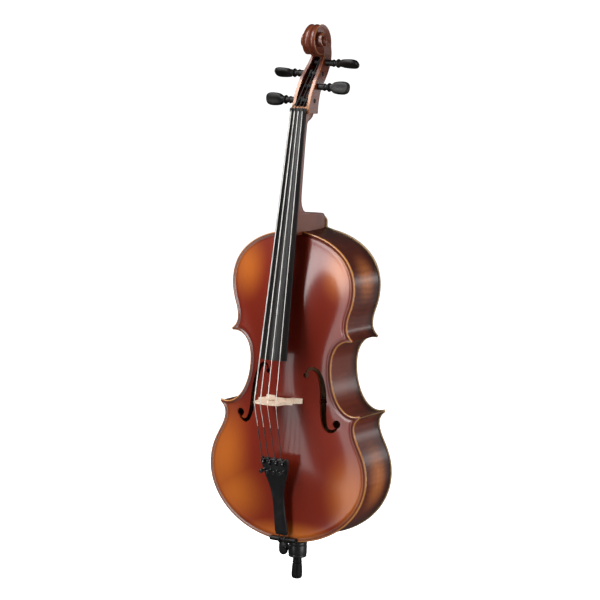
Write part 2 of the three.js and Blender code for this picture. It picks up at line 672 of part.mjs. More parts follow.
function peg({ side, y, z, turn }) {
  const shank = solid(turned(PEG_PROFILE.map(([x, r]) => [r, x]), 16).rotateY(Math.PI / 2));
  const head = new THREE.Shape();
  head.moveTo(PEG.headX - 2, -6);
  head.bezierCurveTo(PEG.headX + 4, -14, PEG.endX - 12, -16, PEG.endX - 3, -11);
  head.bezierCurveTo(PEG.endX + 0.8, -6, PEG.endX + 0.8, 6, PEG.endX - 3, 11);
  head.bezierCurveTo(PEG.endX - 12, 16, PEG.headX + 4, 14, PEG.headX - 2, 6);
  const blade = solid(slabY(head, -7, 7, 5));
  const whole = geometryOf(shank.add(blade)).rotateX(THREE.MathUtils.degToRad(turn));
  if (side < 0) whole.rotateY(Math.PI);
  return whole.translate(0, y, z);
}

const pegRadiusAt = (peg, x) =>
  THREE.MathUtils.mapLinear(x * peg.side, -PEG.cheekX, PEG.cheekX, PEG.farRadius, PEG.nearRadius);

function winding(peg) {
  const inner = pegRadiusAt(peg, peg.windX + WINDING.half * peg.side) + GAP;
  const outer = inner + WINDING.thick;
  const { half } = WINDING;
  const profile = [[inner, -half], [outer, -half], [outer, half], [inner, half], [inner, -half]];
  return turned(profile, 14).rotateY(Math.PI / 2).translate(peg.windX, peg.y, peg.z);
}

// ---------- tailpiece, in its own tilted frame: top edge at z = 0, front face at y = 0 ----------
const TAIL_STATIONS = [[0, 30.5], [-4, 32], [-20, 30.5], [-40, 25], [-60, 18], [-85, 13.5], [-120, 13],
  [-150, 14.3], [-165, 14], [-TAIL_LENGTH, 11.5]];
const TAIL_BACK_Y = 5;

function tailpiece() {
  const steps = 6;
  const rings = TAIL_STATIONS.map(([z, half]) => {
    const crown = 2 + half / 10;
    const front = Array.from({ length: steps + 1 }, (_, i) => {
      const x = half * (1 - (2 * i) / steps);
      return new THREE.Vector3(x, -crown * (1 - (x / half) ** 2), z);
    });
    return [...front, new THREE.Vector3(-half + 1, TAIL_BACK_Y, z), new THREE.Vector3(half - 1, TAIL_BACK_Y, z)];
  });
  const tools = [solid(rodX(-28, 28, 1.6, 1.6, TUNER.pivotY, TUNER.pivotZ, 10))];
  for (const { tailX } of STRINGS) {
    tools.push(solid(box(tailX - TUNER.slotHalf, tailX + TUNER.slotHalf, -20, 20, -14.5, 5)));
    tools.push(solid(rodY(-20, 20, TUNER.shank + GAP, tailX, TUNER.screwZ, 12)));
  }
  for (const x of [-GUT.x, GUT.x]) tools.push(solid(box(x - 2, x + 2, 0.5, 4, -TAIL_LENGTH - 5, -160)));
  return cut(solid(loft(rings)), tools);
}

function tunerLever() {
  const { leverHalf, pivotY, pivotZ } = TUNER;
  const fork = solid(box(-leverHalf, leverHalf, -11, -3, -5.2, -2.2));
  const web = solid(box(-leverHalf, leverHalf, -4.5, 8.5, -11.5, -2.2));
  const arm = solid(box(-leverHalf + 0.6, leverHalf - 0.6, 8, 10.3, -30, -2.2));
  const gapForString = solid(box(-1.4, 1.4, -12, -5.6, -6, -1));
  const bore = solid(rodX(-5, 5, 1.6, 1.6, pivotY, pivotZ, 10));
  return cut(joined([fork, web, arm]), [gapForString, bore]);
}

const ballEnd = () => rodX(-2.2, 2.2, 2.1, 2.1, -7.8, -7.9, 12);
const tunerShank = () => rodY(-13, 7.6, TUNER.shank, 0, TUNER.screwZ, 10);

function tunerKnob() {
  const { knob, screwZ } = TUNER;
  const profile = [[0, 0], [knob - 0.6, 0], [knob, 0.6], [knob, 6.4], [knob - 0.8, 7.2], [0, 7.2]];
  return turned(profile, 14).rotateX(Math.PI / 2).translate(0, -13 - GAP, screwZ);
}

const tunerAxle = () => rodX(-27.5, 27.5, 1.25, 1.25, TUNER.pivotY, TUNER.pivotZ, 10);

// ---------- strings and tailgut ----------
const GUT = { x: 6, radius: 1.3, loopZ: 84.5 };

// A point of the tailpiece's own frame in the cello's frame.
function fromTail(x, y, z) {
  const turn = new THREE.Vector3(x, y, z).applyAxisAngle(new THREE.Vector3(1, 0, 0), TAIL_TILT);
  return turn.add(new THREE.Vector3(0, TAIL_TOP.y, TAIL_TOP.z));
}

// Where a string coming off the nut touches the front of its winding.
function windingTouch(peg, start, radius) {
  const away = new THREE.Vector2(peg.y - start.y, peg.z - start.z);
  const reach = away.length();
  const lean = Math.asin(radius / reach);
  const angle = Math.atan2(away.y, away.x) + lean;
  const length = Math.sqrt(reach * reach - radius * radius);
  return new THREE.Vector3(peg.windX, start.y + length * Math.cos(angle), start.z + length * Math.sin(angle));
}

function string(index) {
  const { nutX, bridgeX, tailX, radius } = STRINGS[index];
  const peg = PEGS[index];
  const offNut = new THREE.Vector3(nutX, stringNutY(nutX) + 0.6, NUT_Z + NUT_HEIGHT + 0.6);
  const coil = pegRadiusAt(peg, peg.windX + WINDING.half * peg.side) + WINDING.thick + 2 * GAP + radius;
  const crownOnNut = stringNutY(nutX) - 0.3;
  const crownOnBridge = stringBridgeY(bridgeX) - 0.3;
  return wire([
    windingTouch(peg, offNut, coil),
    offNut,
    new THREE.Vector3(nutX, crownOnNut, NUT_Z + NUT_HEIGHT - 2),
    new THREE.Vector3(nutX, crownOnNut, NUT_Z),
    new THREE.Vector3(bridgeX, crownOnBridge, BRIDGE_Z + 1.6),
    new THREE.Vector3(bridgeX, crownOnBridge, BRIDGE_Z - 1.6),
    fromTail(tailX, -8, -4.2),
  ], radius);
}

function tailgut() {
  const round = COLLAR.neck + GAP + GUT.radius;
  const inTail = [-165, -172].map((z) => fromTail(GUT.x, 2.2, z).toArray());
  const leg = [...inTail, [GUT.x, -68.4, 98], [GUT.x + 0.2, -68.5, 92.6], [GUT.x + 0.6, -65.2, 87.7],
    [GUT.x + 1.4, -58, 86.4], [12.5, -24, 85]];
  const loop = [];
  const steps = 8;
  for (let i = 0; i <= steps; i++) {
    const angle = (Math.PI * i) / steps;
    loop.push(new THREE.Vector3(round * Math.cos(angle), round * Math.sin(angle), GUT.loopZ));
  }
  const right = leg.map(([x, y, z]) => new THREE.Vector3(x, y, z));
  const left = leg.map(([x, y, z]) => new THREE.Vector3(-x, y, z)).reverse();
  return wire([...right, ...loop, ...left], GUT.radius);
}

// ---------- endpin ----------
function endpinSocket() {
  const { radius, neck, bottomZ, topZ, plug, insideZ } = COLLAR;
  const bore = ROD.radius + GAP;
  const profile = [[bore, bottomZ], [radius - 3, bottomZ], [radius, bottomZ + 3], [radius, topZ - 2],
    [radius - 1.5, topZ], [neck, topZ], [neck, BODY_Z + 1.9], [plug, BODY_Z + 1.9],
    [plug - 0.6, insideZ], [bore, insideZ], [bore, bottomZ]];
  return solid(turned(profile)).subtract(solid(rodX(-25, -3, 3 + GAP, 3 + GAP, 0, CLAMP_Z, 12)));
}

function endpinRod() {
  const { radius, topZ, shoulderZ, pointZ } = ROD;
  return turned([[0, pointZ], [0.6, pointZ], [radius, shoulderZ], [radius, topZ - 1], [radius - 1, topZ],
    [0, topZ]], 20);
}

function rubberTip() {
  const bore = ROD.radius + GAP;
  return turned([[0, 0], [7, 0], [10, 2], [11.4, 6], [11, 20], [10.2, 31], [9.2, 34], [9.2, TIP_TOP_Z],
    [bore, TIP_TOP_Z], [bore, ROD.shoulderZ - 0.6], [1, ROD.pointZ - 0.7], [0, ROD.pointZ - 0.7]]);
}

const clampShank = () => rodX(-23.7, -ROD.radius - 0.7, 3, 3, 0, CLAMP_Z, 12);

function clampHead() {
  const half = 17;
  const wing = new THREE.Shape();
  wing.moveTo(-24, CLAMP_Z - 9);
  wing.bezierCurveTo(-25, CLAMP_Z - half, -30, CLAMP_Z - half, -36, CLAMP_Z - half);
  wing.bezierCurveTo(-43, CLAMP_Z - half, -44, CLAMP_Z - 12, -44, CLAMP_Z);
  wing.bezierCurveTo(-44, CLAMP_Z + 12, -43, CLAMP_Z + half, -36, CLAMP_Z + half);
  wing.bezierCurveTo(-30, CLAMP_Z + half, -25, CLAMP_Z + half, -24, CLAMP_Z + 9);
  return slabY(wing, -4.5, 4.5, 4);
}

// ---------- assembly ----------
const cello = new THREE.Group();

function add(name, piece, material, parent = cello) {
  const geometry = piece.isBufferGeometry ? piece : geometryOf(piece);
  const mesh = new THREE.Mesh(geometry, material);
  mesh.name = name;
  parent.add(mesh);
  return mesh;
}

const SIDES = [{ label: "bass", sign: -1 }, { label: "treble", sign: 1 }];

function addBody() {
  const belly = topPlate();
  const back = backPlate();
  add("top_plate", belly, VARNISHED_SPRUCE);
  add("back_plate", back, VARNISHED_MAPLE);
  for (const { label, sign } of SIDES) {
    for (const bout of ["lower", "centre", "upper"])
      add(`${bout}_rib_${label}`, rib(bout, sign), VARNISHED_MAPLE);
    for (const which of ["lower", "upper"])
      add(`${which}_corner_block_${label}`, cornerBlock(which, sign), RAW_SPRUCE);
  }
  add("top_block", topBlock(), RAW_SPRUCE);
  add("bottom_block", bottomBlock(), RAW_SPRUCE);
  add("front_lining", liningAt(-1), RAW_SPRUCE);
  add("back_lining", liningAt(1), RAW_SPRUCE);
  add("bass_bar", bassBar(belly), RAW_SPRUCE);
  add("sound_post", soundPost(belly, back), RAW_SPRUCE);
}

function addNeck() {
  add("neck", neck(), VARNISHED_MAPLE);
  add("fingerboard", fingerboard(), EBONY);
  add("nut", nut(), EBONY);
  for (const p of PEGS) {
    add(`peg_${p.name}`, peg(p), EBONY);
    add(`string_winding_${p.name}`, winding(p), STEEL);
  }
}

function addTailpiece() {
  const tail = new THREE.Group();
  tail.position.set(0, TAIL_TOP.y, TAIL_TOP.z);
  tail.rotation.x = TAIL_TILT;
  cello.add(tail);
  add("tailpiece", tailpiece(), BLACK_PLASTIC, tail);
  add("tuner_axle", tunerAxle(), STEEL, tail);
  for (const { name, tailX } of STRINGS) {
    const tuner = new THREE.Group();
    tuner.position.x = tailX;
    tail.add(tuner);
    add(`tuner_lever_${name}`, tunerLever(), STEEL, tuner);
    add(`ball_end_${name}`, ballEnd(), STEEL, tuner);
    add(`tuner_shank_${name}`, tunerShank(), STEEL, tuner);
    add(`tuner_knob_${name}`, tunerKnob(), BLACK_PLASTIC, tuner);
  }
}

function addFittings() {
  add("bridge", bridge(), RAW_MAPLE);
  add("saddle", saddleBlock(), EBONY);
  STRINGS.forEach(({ name }, index) => add(`string_${name}`, string(index), STEEL));
  add("tailgut", tailgut(), BLACK_PLASTIC);
  add("endpin_socket", endpinSocket(), BLACK_PLASTIC);
  add("endpin_rod", endpinRod(), STEEL);
  add("rubber_tip", rubberTip(), RUBBER);
  add("clamp_shank", clampShank(), STEEL);
  add("clamp_head", clampHead(), BLACK_PLASTIC);
}

addBody();
addNeck();
addTailpiece();
addFittings();

export default cello;
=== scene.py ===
"""Looks for a half-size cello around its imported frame.

Lengths are in millimetres until a mesh is made. +Z runs up the strings, +X is the treble side, -Y the front.
"""
import math
import bmesh
import bpy
import numpy as np
from mathutils import Matrix, Vector
from mathutils.geometry import delaunay_2d_cdt


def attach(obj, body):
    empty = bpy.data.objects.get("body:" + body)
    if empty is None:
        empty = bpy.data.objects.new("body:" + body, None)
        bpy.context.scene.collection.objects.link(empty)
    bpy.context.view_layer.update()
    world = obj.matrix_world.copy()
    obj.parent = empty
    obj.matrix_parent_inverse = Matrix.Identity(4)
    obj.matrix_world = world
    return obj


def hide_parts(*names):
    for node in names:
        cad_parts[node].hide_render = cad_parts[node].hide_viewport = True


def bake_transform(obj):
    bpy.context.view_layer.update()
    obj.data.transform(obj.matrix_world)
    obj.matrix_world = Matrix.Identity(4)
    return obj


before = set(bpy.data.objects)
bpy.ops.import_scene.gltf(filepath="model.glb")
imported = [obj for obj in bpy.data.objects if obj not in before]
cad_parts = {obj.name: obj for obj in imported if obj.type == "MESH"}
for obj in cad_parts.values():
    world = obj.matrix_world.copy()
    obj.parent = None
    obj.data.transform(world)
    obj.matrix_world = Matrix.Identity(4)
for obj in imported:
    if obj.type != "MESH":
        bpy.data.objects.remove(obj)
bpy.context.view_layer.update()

MM = 0.001
TURN = 2 * math.pi

# ---------------------------------------------------------------- driving sizes
BODY_Z = 88.5
BODY_LENGTH = 644.5
LOWER_BOUT, WAIST, UPPER_BOUT = (146.5, 185.5), (369.5, 95.5), (530.5, 143.5)  # z, half-width
EDGE_Y = 56.0
PLATE = 4.5
ARCH_MARGIN = 13.0
BELLY_RISE, BACK_RISE = 20.0, 18.0
OVERHANG, RIB = 2.2, 1.6
EDGE_ROUND, UNDER_ROUND = 2.1, 1.6
CHANNEL_DEEP, CHANNEL_WIDE = 0.9, 11.0
BUTTON_RISE, BUTTON_RADIUS = 8.0, 14.5

NUT_Z, NUT_TALL = 968.0, 8.0
BOARD_END_Z = 473.5
BOARD_NUT_HALF, BOARD_END_HALF, BOARD_RADIUS = 17.6, 31.75, 62.0
CROWN_AT_NUT, CROWN_AT_END = -61.2, -136.0
STRINGS_AT_NUT, STRINGS_AT_BRIDGE = -62.8, -156.2
BRIDGE_Z = 387.0
CAMBER = 60.0
STRINGS = {  # x at nut, bridge and tailpiece, radius
    "c": (-12.75, -25.2, -22.5, 1.0),
    "g": (-4.25, -8.4, -7.5, 0.85),
    "d": (4.25, 8.4, 7.5, 0.7),
    "a": (12.75, 25.2, 22.5, 0.6),
}
PEGS = {  # side, z, y, x of the winding, turn of the head
    "c": (-1, 991.0, -27.0, -8.0, 12.0),
    "g": (-1, 1044.6, 5.0, -6.0, 53.0),
    "d": (1, 1067.0, 20.0, 4.5, 57.0),
    "a": (1, 1019.0, -14.0, 8.0, -14.0),
}
PEG_NEAR, PEG_FAR, CHEEK_X = 6.2, 4.6, 20.5
TAIL_ORIGIN = (0.0, -108.0, 270.0)
TAIL_TILT = math.radians(12.9)
CLAMP_Z = 62.0


# ---------------------------------------------------------------- node materials
NOISE_ROUGHNESS = 0.55


class Look:
    """A node material with one Principled shader, built line by line."""

    def __init__(self, name):
        self.material = bpy.data.materials.new(name)
        self.material.use_nodes = True
        self.tree = self.material.node_tree
        self.tree.nodes.clear()
        out = self.tree.nodes.new("ShaderNodeOutputMaterial")
        self.shader = self.tree.nodes.new("ShaderNodeBsdfPrincipled")
        self.tree.links.new(self.shader.outputs[0], out.inputs[0])
        self.coords = self.tree.nodes.new("ShaderNodeTexCoord").outputs["Object"]

    def set(self, **values):
        for key, value in values.items():
            self.feed(self.shader.inputs[key.replace("_", " ")], value)
        return self

    def feed(self, socket, value):
        if isinstance(value, bpy.types.NodeSocket):
            self.tree.links.new(value, socket)
        elif isinstance(value, (tuple, list)) and len(value) == 3 and socket.type == "RGBA":
            socket.default_value = (*value, 1)
        else:
            socket.default_value = value

    def node(self, kind, inputs=None, **props):
        made = self.tree.nodes.new("ShaderNode" + kind)
        for key, value in props.items():
            setattr(made, key, value)
        for key, value in (inputs or {}).items():
            self.feed(made.inputs[key], value)
        return made

    def math(self, operation, a, b=0.0):
        return self.node("Math", {0: a, 1: b}, operation=operation).outputs[0]

    def plus(self, a, b):
        return self.math("ADD", a, b)

    def times(self, a, b):
        return self.math("MULTIPLY", a, b)

    def waves(self, place, length):
        """A sine that repeats every `length` metres of `place`."""
        return self.math("SINE", self.times(place, TURN / length))

    def noise(self, scale, detail=3.0, stretch=None):
        """Noise over the object's coordinates, which `stretch` scales axis by axis."""
        vector = self.coords
        if stretch:
            vector = self.node("Mapping", {"Vector": vector, "Scale": stretch}).outputs[0]
        inputs = {"Vector": vector, "Scale": scale, "Detail": detail, "Roughness": NOISE_ROUGHNESS}
        return self.node("TexNoise", inputs).outputs["Fac"]

    def remap(self, value, low, high, to_low=0.0, to_high=1.0):
        inputs = {"Value": value, "From Min": low, "From Max": high, "To Min": to_low, "To Max": to_high}
        return self.node("MapRange", inputs, interpolation_type="SMOOTHSTEP").outputs["Result"]

    def mix(self, share, a, b, blend="MIX"):
        made = self.node("Mix", data_type="RGBA", blend_type=blend)
        self.feed(made.inputs[0], share)
        self.feed(made.inputs[6], a)
        self.feed(made.inputs[7], b)
        return made.outputs[2]

    def bump(self, height, strength, distance):
        inputs = {"Height": height, "Strength": strength, "Distance": distance}
        return self.node("Bump", inputs).outputs[0]

    def axis(self, name):
        return self.node("SeparateXYZ", {"Vector": self.coords}).outputs[name]

    def attribute(self, name):
        return self.node("Attribute", attribute_name=name).outputs["Fac"]

    def patch(self, centre, radii):
        """1 in the middle of a soft ellipsoid (millimetres), 0 outside it."""
        shift = {0: self.coords, 1: [-c * MM for c in centre]}
        shifted = self.node("VectorMath", shift, operation="ADD").outputs[0]
        shrink = {0: shifted, 1: [1 / (r * MM) for r in radii]}
        scaled = self.node("VectorMath", shrink, operation="MULTIPLY").outputs[0]
        length = self.node("VectorMath", {0: scaled}, operation="LENGTH").outputs["Value"]
        return self.remap(length, 0.0, 1.0, 1.0, 0.0)


def strongest(look, values):
    best = values[0]
    for value in values[1:]:
        best = look.math("MAXIMUM", best, value)
    return best


DEEP_RED = (0.130, 0.0095, 0.0045)
RED_BROWN = (0.245, 0.023, 0.0085)
AMBER = (0.64, 0.165, 0.020)
GOLD = (0.62, 0.27, 0.07)
WORN_BROWN = (0.022, 0.007, 0.005)
DARK_EDGE = (0.03, 0.006, 0.004)
# Painted shade on the ribs' top at the upper bout, and the ribs' darkening towards the back
RIB_DARK_AND_SHADE_BROWN = (0.012, 0.002, 0.0015)
PURFLING_BLACK, PURFLING_WHITE = (0.012, 0.006, 0.004), (0.30, 0.10, 0.03)
PURFLING_AT = 4.6  # in from the edge

# Soft patches, each (centre, radii): the sunburst's warm and red patches, and the dark rib patches, which
# paint shade over the ribs' top at the upper bout and darken the C-bouts towards the back
AMBER_BELLY_SPOTS = [
    ((-110, -60, 652), (60, 60, 88)), ((108, -60, 655), (48, 60, 78)), ((-152, -60, 250), (88, 80, 150)),
    ((-120, -60, 175), (95, 80, 85)), ((152, -60, 200), (74, 80, 115)), ((20, -60, 104), (180, 80, 36)),
]
RED_BELLY_SPOTS = [
    ((0, -60, 440), (150, 90, 330)), ((95, -60, 420), (95, 90, 120)), ((-95, -60, 420), (95, 90, 120)),
]
AMBER_RIB_SPOTS = [
    ((138, 0, 640), (60, 46, 62)), ((-138, 0, 640), (60, 46, 62)),
    ((182, 0, 232), (50, 50, 105)), ((-182, 0, 232), (50, 50, 105)),
]
# Painted shade over the ribs' upward-facing top at the upper bout; the C-bouts darker towards the back
DARK_RIB_SPOTS = [((0, 0, 765), (175, 110, 108)), ((0, 40, 420), (170, 60, 60))]
AMBER_BACK_SPOTS = [
    ((0, 70, 640), (95, 60, 75)), ((0, 75, 215), (130, 60, 105)), ((0, 70, 430), (50, 60, 150)),
]


def varnished_spruce():
    """Quarter-sawn spruce under a clear, red-brown sunburst varnish."""
    look = Look("varnished_spruce")
    centre_out = look.math("ABSOLUTE", look.axis("X"))
    wander = look.noise(3.2, 2.0, stretch=(1.0, 1.0, 0.35))
    across = look.plus(centre_out, look.times(wander, 0.012))
    rings = look.remap(look.waves(across, 0.0017), -0.6, 1.0)
    fibres = look.noise(900.0, 2.0, stretch=(1.0, 1.0, 0.02))
    clouds = look.noise(7.0, 3.0, stretch=(1.0, 1.0, 0.5))
    grain = look.plus(look.times(rings, 0.55), look.times(fibres, 0.45))
    warm = strongest(look, [look.patch(*spot) for spot in AMBER_BELLY_SPOTS])
    warm = look.times(warm, look.remap(clouds, 0.2, 0.7, 0.82, 1.0))
    dark = strongest(look, [look.patch(*spot) for spot in RED_BELLY_SPOTS])
    colour = look.mix(look.times(dark, 0.85), RED_BROWN, DEEP_RED)
    colour = look.mix(look.times(warm, 0.95), colour, AMBER)
    colour = look.mix(look.times(grain, 0.34), colour, (0.10, 0.012, 0.006), "MULTIPLY")
    colour = edging(look, colour, clouds, GOLD)
    look.set(Base_Color=colour, Roughness=look.remap(fibres, 0.3, 0.7, 0.36, 0.5))
    return varnished(look, look.bump(grain, 0.12, 0.0003), 0.15)


def varnished(look, normal, gloss):
    """Clear varnish over the wood."""
    look.set(Normal=normal, Coat_Weight=0.9, Coat_Roughness=gloss, Coat_IOR=1.5, Specular_IOR_Level=0.1)
    return look.material


def edging(look, colour, clouds, rim_colour):
    """A plate's border: worn rim, three-ply purfling, and a darker channel inside it."""
    edge = look.attribute("edge")
    rim = look.remap(edge, 1.2, 2.8, 1.0, 0.0)
    worn = look.mix(look.remap(clouds, 0.3, 0.7), [c * 0.7 for c in rim_colour], rim_colour)
    channel = look.remap(edge, 5.0, 15.0, 0.5, 0.0)
    colour = look.mix(channel, colour, DARK_EDGE)
    colour = look.mix(look.times(rim, 0.96), colour, worn)
    inlay = look.math("ABSOLUTE", look.math("SUBTRACT", edge, PURFLING_AT))
    black = look.remap(inlay, 0.62, 0.75, 1.0, 0.0)
    white = look.remap(inlay, 0.2, 0.3, 1.0, 0.0)
    colour = look.mix(black, colour, PURFLING_BLACK)
    return look.mix(look.times(white, 0.7), colour, PURFLING_WHITE)


def varnished_maple(name, gloss, base=RED_BROWN, deep=DEEP_RED, warm_spots=(), warm_colour=AMBER,
                    edged=False, flame_wide=0.011, back_dark_and_top_shade=False):
    """Figured maple: soft flame bands across the grain, short pores, and the same varnish."""
    look = Look(name)
    place = look.plus(look.axis("Z"), look.times(look.noise(14.0, 2.0), 0.02))
    flame = look.remap(look.waves(place, flame_wide), -0.9, 0.9)
    flame = look.times(flame, look.remap(look.noise(9.0, 2.0), 0.35, 0.65))
    pores = look.noise(420.0, 2.0, stretch=(1.0, 1.0, 0.12))
    clouds = look.noise(6.0, 3.0)
    colour = look.mix(look.remap(clouds, 0.3, 0.7), deep, base)
    if warm_spots:
        warm = strongest(look, [look.patch(*spot) for spot in warm_spots])
        colour = look.mix(look.times(warm, 0.9), colour, warm_colour)
    colour = look.mix(look.times(flame, 0.28), colour, (0.30, 0.10, 0.06), "MULTIPLY")
    colour = look.mix(look.remap(pores, 0.42, 0.62, 0.22, 0.0), colour, (0.02, 0.006, 0.004))
    # The ribs darken towards the back, with painted shade over their upward-facing top at the upper bout
    if back_dark_and_top_shade:
        to_back = look.remap(look.axis("Y"), 0.018, 0.052, 0.0, 0.85)
        dark = strongest(look, [to_back] + [look.patch(*spot) for spot in DARK_RIB_SPOTS])
        colour = look.mix(look.times(dark, 0.97), colour, RIB_DARK_AND_SHADE_BROWN)
    if edged:
        colour = edging(look, colour, clouds, WORN_BROWN)
    look.set(Base_Color=colour, Roughness=look.remap(pores, 0.3, 0.7, 0.34, 0.48))
    return varnished(look, look.bump(pores, 0.08, 0.0003), gloss)


def bare_wood(name, light, dark, ring=0.0016, along="X", rough=(0.6, 0.78), flecks=0.0):
    """Unvarnished wood with growth lines and, on quarter-cut maple, short ray flecks."""
    look = Look(name)
    wander = look.noise(6.0, 2.0)
    place = look.plus(look.axis(along), look.times(wander, 0.01))
    rings = look.remap(look.waves(place, ring), -0.4, 1.0)
    fibres = look.noise(700.0, 3.0, stretch=(1.0, 1.0, 0.06) if along == "X" else (0.06, 1.0, 1.0))
    share = look.plus(look.times(rings, 0.45), look.times(fibres, 0.5))
    colour = look.mix(share, light, dark)
    if flecks:
        ray = look.noise(330.0, 1.0, stretch=(0.35, 1.6, 1.6))
        colour = look.mix(look.remap(ray, 0.56, 0.66, 0.0, flecks), colour, [c * 0.5 for c in dark])
    look.set(Base_Color=colour, Roughness=look.remap(fibres, 0.3, 0.7, *rough))
    look.set(Normal=look.bump(fibres, 0.25, 0.0003))
    return look.material


def ebony(name="polished_ebony", rough=(0.36, 0.48), tint=(0.006, 0.0055, 0.0055)):
    look = Look(name)
    streaks = look.noise(60.0, 3.0, stretch=(1.0, 1.0, 0.05))
    pores = look.noise(1100.0, 2.0, stretch=(1.0, 1.0, 0.05))
    colour = look.mix(look.remap(streaks, 0.35, 0.75), tint, (0.017, 0.013, 0.012))
    colour = look.mix(look.remap(pores, 0.6, 0.72, 0.0, 0.5), colour, (0.004, 0.004, 0.004))
    look.set(Base_Color=colour, Roughness=look.remap(streaks, 0.3, 0.7, *rough))
    look.set(Normal=look.bump(pores, 0.15, 0.0002), Specular_IOR_Level=0.22)
    return look.material


def moulded(name, colour, rough=(0.3, 0.42), grain=0.12, scale=1600.0, shine=0.5):
    """Moulded plastic or rubber with a fine spark-eroded skin and a few rubbed places."""
    look = Look(name)
    skin = look.noise(scale, 2.0)
    rubbed = look.noise(45.0, 3.0)
    tint = look.mix(look.remap(rubbed, 0.45, 0.75, 0.0, 0.6), colour, [c * 1.7 + 0.003 for c in colour])
    look.set(Base_Color=tint, Roughness=look.remap(rubbed, 0.35, 0.7, *rough))
    look.set(Normal=look.bump(skin, grain, 0.0002), Specular_IOR_Level=shine)
    return look.material


def metal(name, colour, rough=(0.16, 0.3), brushed=(1.0, 1.0, 0.06)):
    look = Look(name)
    scratches = look.noise(900.0, 2.0, stretch=brushed)
    dull = look.noise(70.0, 3.0)
    tint = look.mix(look.remap(dull, 0.5, 0.8, 0.0, 0.5), colour, [c * 0.55 for c in colour])
    look.set(Base_Color=tint, Metallic=1.0, Roughness=look.remap(scratches, 0.3, 0.7, *rough))
    look.set(Normal=look.bump(scratches, 0.08, 0.0001))
    return look.material


def wound_string():
    """Steel ribbon wound close round the core."""
    look = Look("wound_string")
    turns = look.waves(look.axis("Z"), 0.0004)
    tarnish = look.noise(40.0, 2.0)
    tint = look.mix(look.remap(tarnish, 0.4, 0.7), (0.88, 0.86, 0.83), (0.70, 0.67, 0.63))
    look.set(Base_Color=tint, Metallic=1.0, Roughness=look.remap(tarnish, 0.3, 0.7, 0.4, 0.52))
    look.set(Normal=look.bump(turns, 0.3, 0.00008))
    return look.material


def silk():
    """Black silk lapping at a string's ends."""
    look = Look("string_silk")
    threads = look.waves(look.axis("Z"), 0.0005)
    fuzz = look.noise(1500.0, 2.0)
    tint = look.mix(fuzz, (0.006, 0.006, 0.007), (0.022, 0.021, 0.023))
    look.set(Base_Color=tint, Roughness=look.remap(fuzz, 0.3, 0.7, 0.55, 0.8))
    look.set(Normal=look.bump(threads, 0.4, 0.0001), Sheen_Weight=0.2)
    return look.material


LOOKS = {
    "belly": varnished_spruce(),
    "back": varnished_maple("varnished_back", 0.25, warm_spots=AMBER_BACK_SPOTS, edged=True),
    "ribs": varnished_maple("varnished_ribs", 0.27, (0.20, 0.036, 0.016), (0.10, 0.017, 0.009),
                            warm_spots=AMBER_RIB_SPOTS, warm_colour=(0.60, 0.19, 0.05), back_dark_and_top_shade=True),
    "neck": varnished_maple("varnished_neck", 0.28, (0.22, 0.050, 0.018), (0.12, 0.023, 0.009),
                            flame_wide=0.008),
    "neck_edge": varnished_maple("rubbed_chamfers", 0.2, (0.52, 0.22, 0.085), (0.36, 0.13, 0.05)),
    "neck_dark": varnished_maple("pegbox_inside", 0.4, (0.20, 0.036, 0.012), (0.10, 0.016, 0.006)),
    "spruce": bare_wood("bare_spruce", (0.62, 0.43, 0.24), (0.44, 0.26, 0.12)),
    "maple": bare_wood("bridge_maple", (0.92, 0.74, 0.57), (0.74, 0.53, 0.38), ring=0.0011, along="Y",
                       rough=(0.5, 0.65), flecks=0.55),
    "ebony": ebony(),
    "board": ebony("oiled_fingerboard", (0.27, 0.36), (0.012, 0.011, 0.011)),
    "plastic": moulded("black_plastic", (0.012, 0.012, 0.013)),
    "rubber": moulded("black_rubber", (0.004, 0.004, 0.0045), (0.5, 0.68), 0.3, 700.0, 0.15),
    "gut": moulded("tailgut_nylon", (0.010, 0.010, 0.010), (0.35, 0.5), 0.1, 900.0),
    "string": wound_string(),
    "silk": silk(),
    "steel": metal("bright_steel", (0.60, 0.60, 0.59)),
    "tuner": metal("tuner_metal", (0.10, 0.10, 0.105), (0.2, 0.34)),
}


# ---------------------------------------------------------------- mesh helpers
WELD_M = 1e-6


def make(name, points, faces, looks, nodes, slot, body="root", sharp=35.0, face_looks=None, weld=True):
    """One named piece from points in millimetres; it stands for `nodes` and rides on `body`."""
    mesh = bpy.data.meshes.new(name)
    mesh.from_pydata([tuple(float(c) * MM for c in p) for p in points], [], [tuple(f) for f in faces])
    for look in looks if isinstance(looks, list) else [looks]:
        mesh.materials.append(LOOKS[look])
    if face_looks is not None:
        mesh.polygons.foreach_set("material_index", face_looks)
    bm = bmesh.new()
    bm.from_mesh(mesh)
    if weld:
        bmesh.ops.remove_doubles(bm, verts=bm.verts, dist=WELD_M)
    bmesh.ops.recalc_face_normals(bm, faces=bm.faces)
    bm.to_mesh(mesh)
    bm.free()
    piece = bpy.data.objects.new(name, mesh)
    bpy.context.scene.collection.objects.link(piece)
    soften(mesh, sharp)
    if body:
        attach(piece, body)
    if nodes:
        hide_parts(*nodes)
    return piece


def soften(mesh, sharp):
    mesh.polygons.foreach_set("use_smooth", [True] * len(mesh.polygons))
    mesh.set_sharp_from_angle(angle=math.radians(sharp))
    mesh.update()


def bevelled(piece, width, angle=30.0, segments=3):
    """Eases every sharp edge of a piece."""
    bevel = piece.modifiers.new("eased edges", "BEVEL")
    bevel.width = width * MM
    bevel.segments = segments
    bevel.limit_method = "ANGLE"
    bevel.angle_limit = math.radians(angle)
    bevel.harden_normals = True


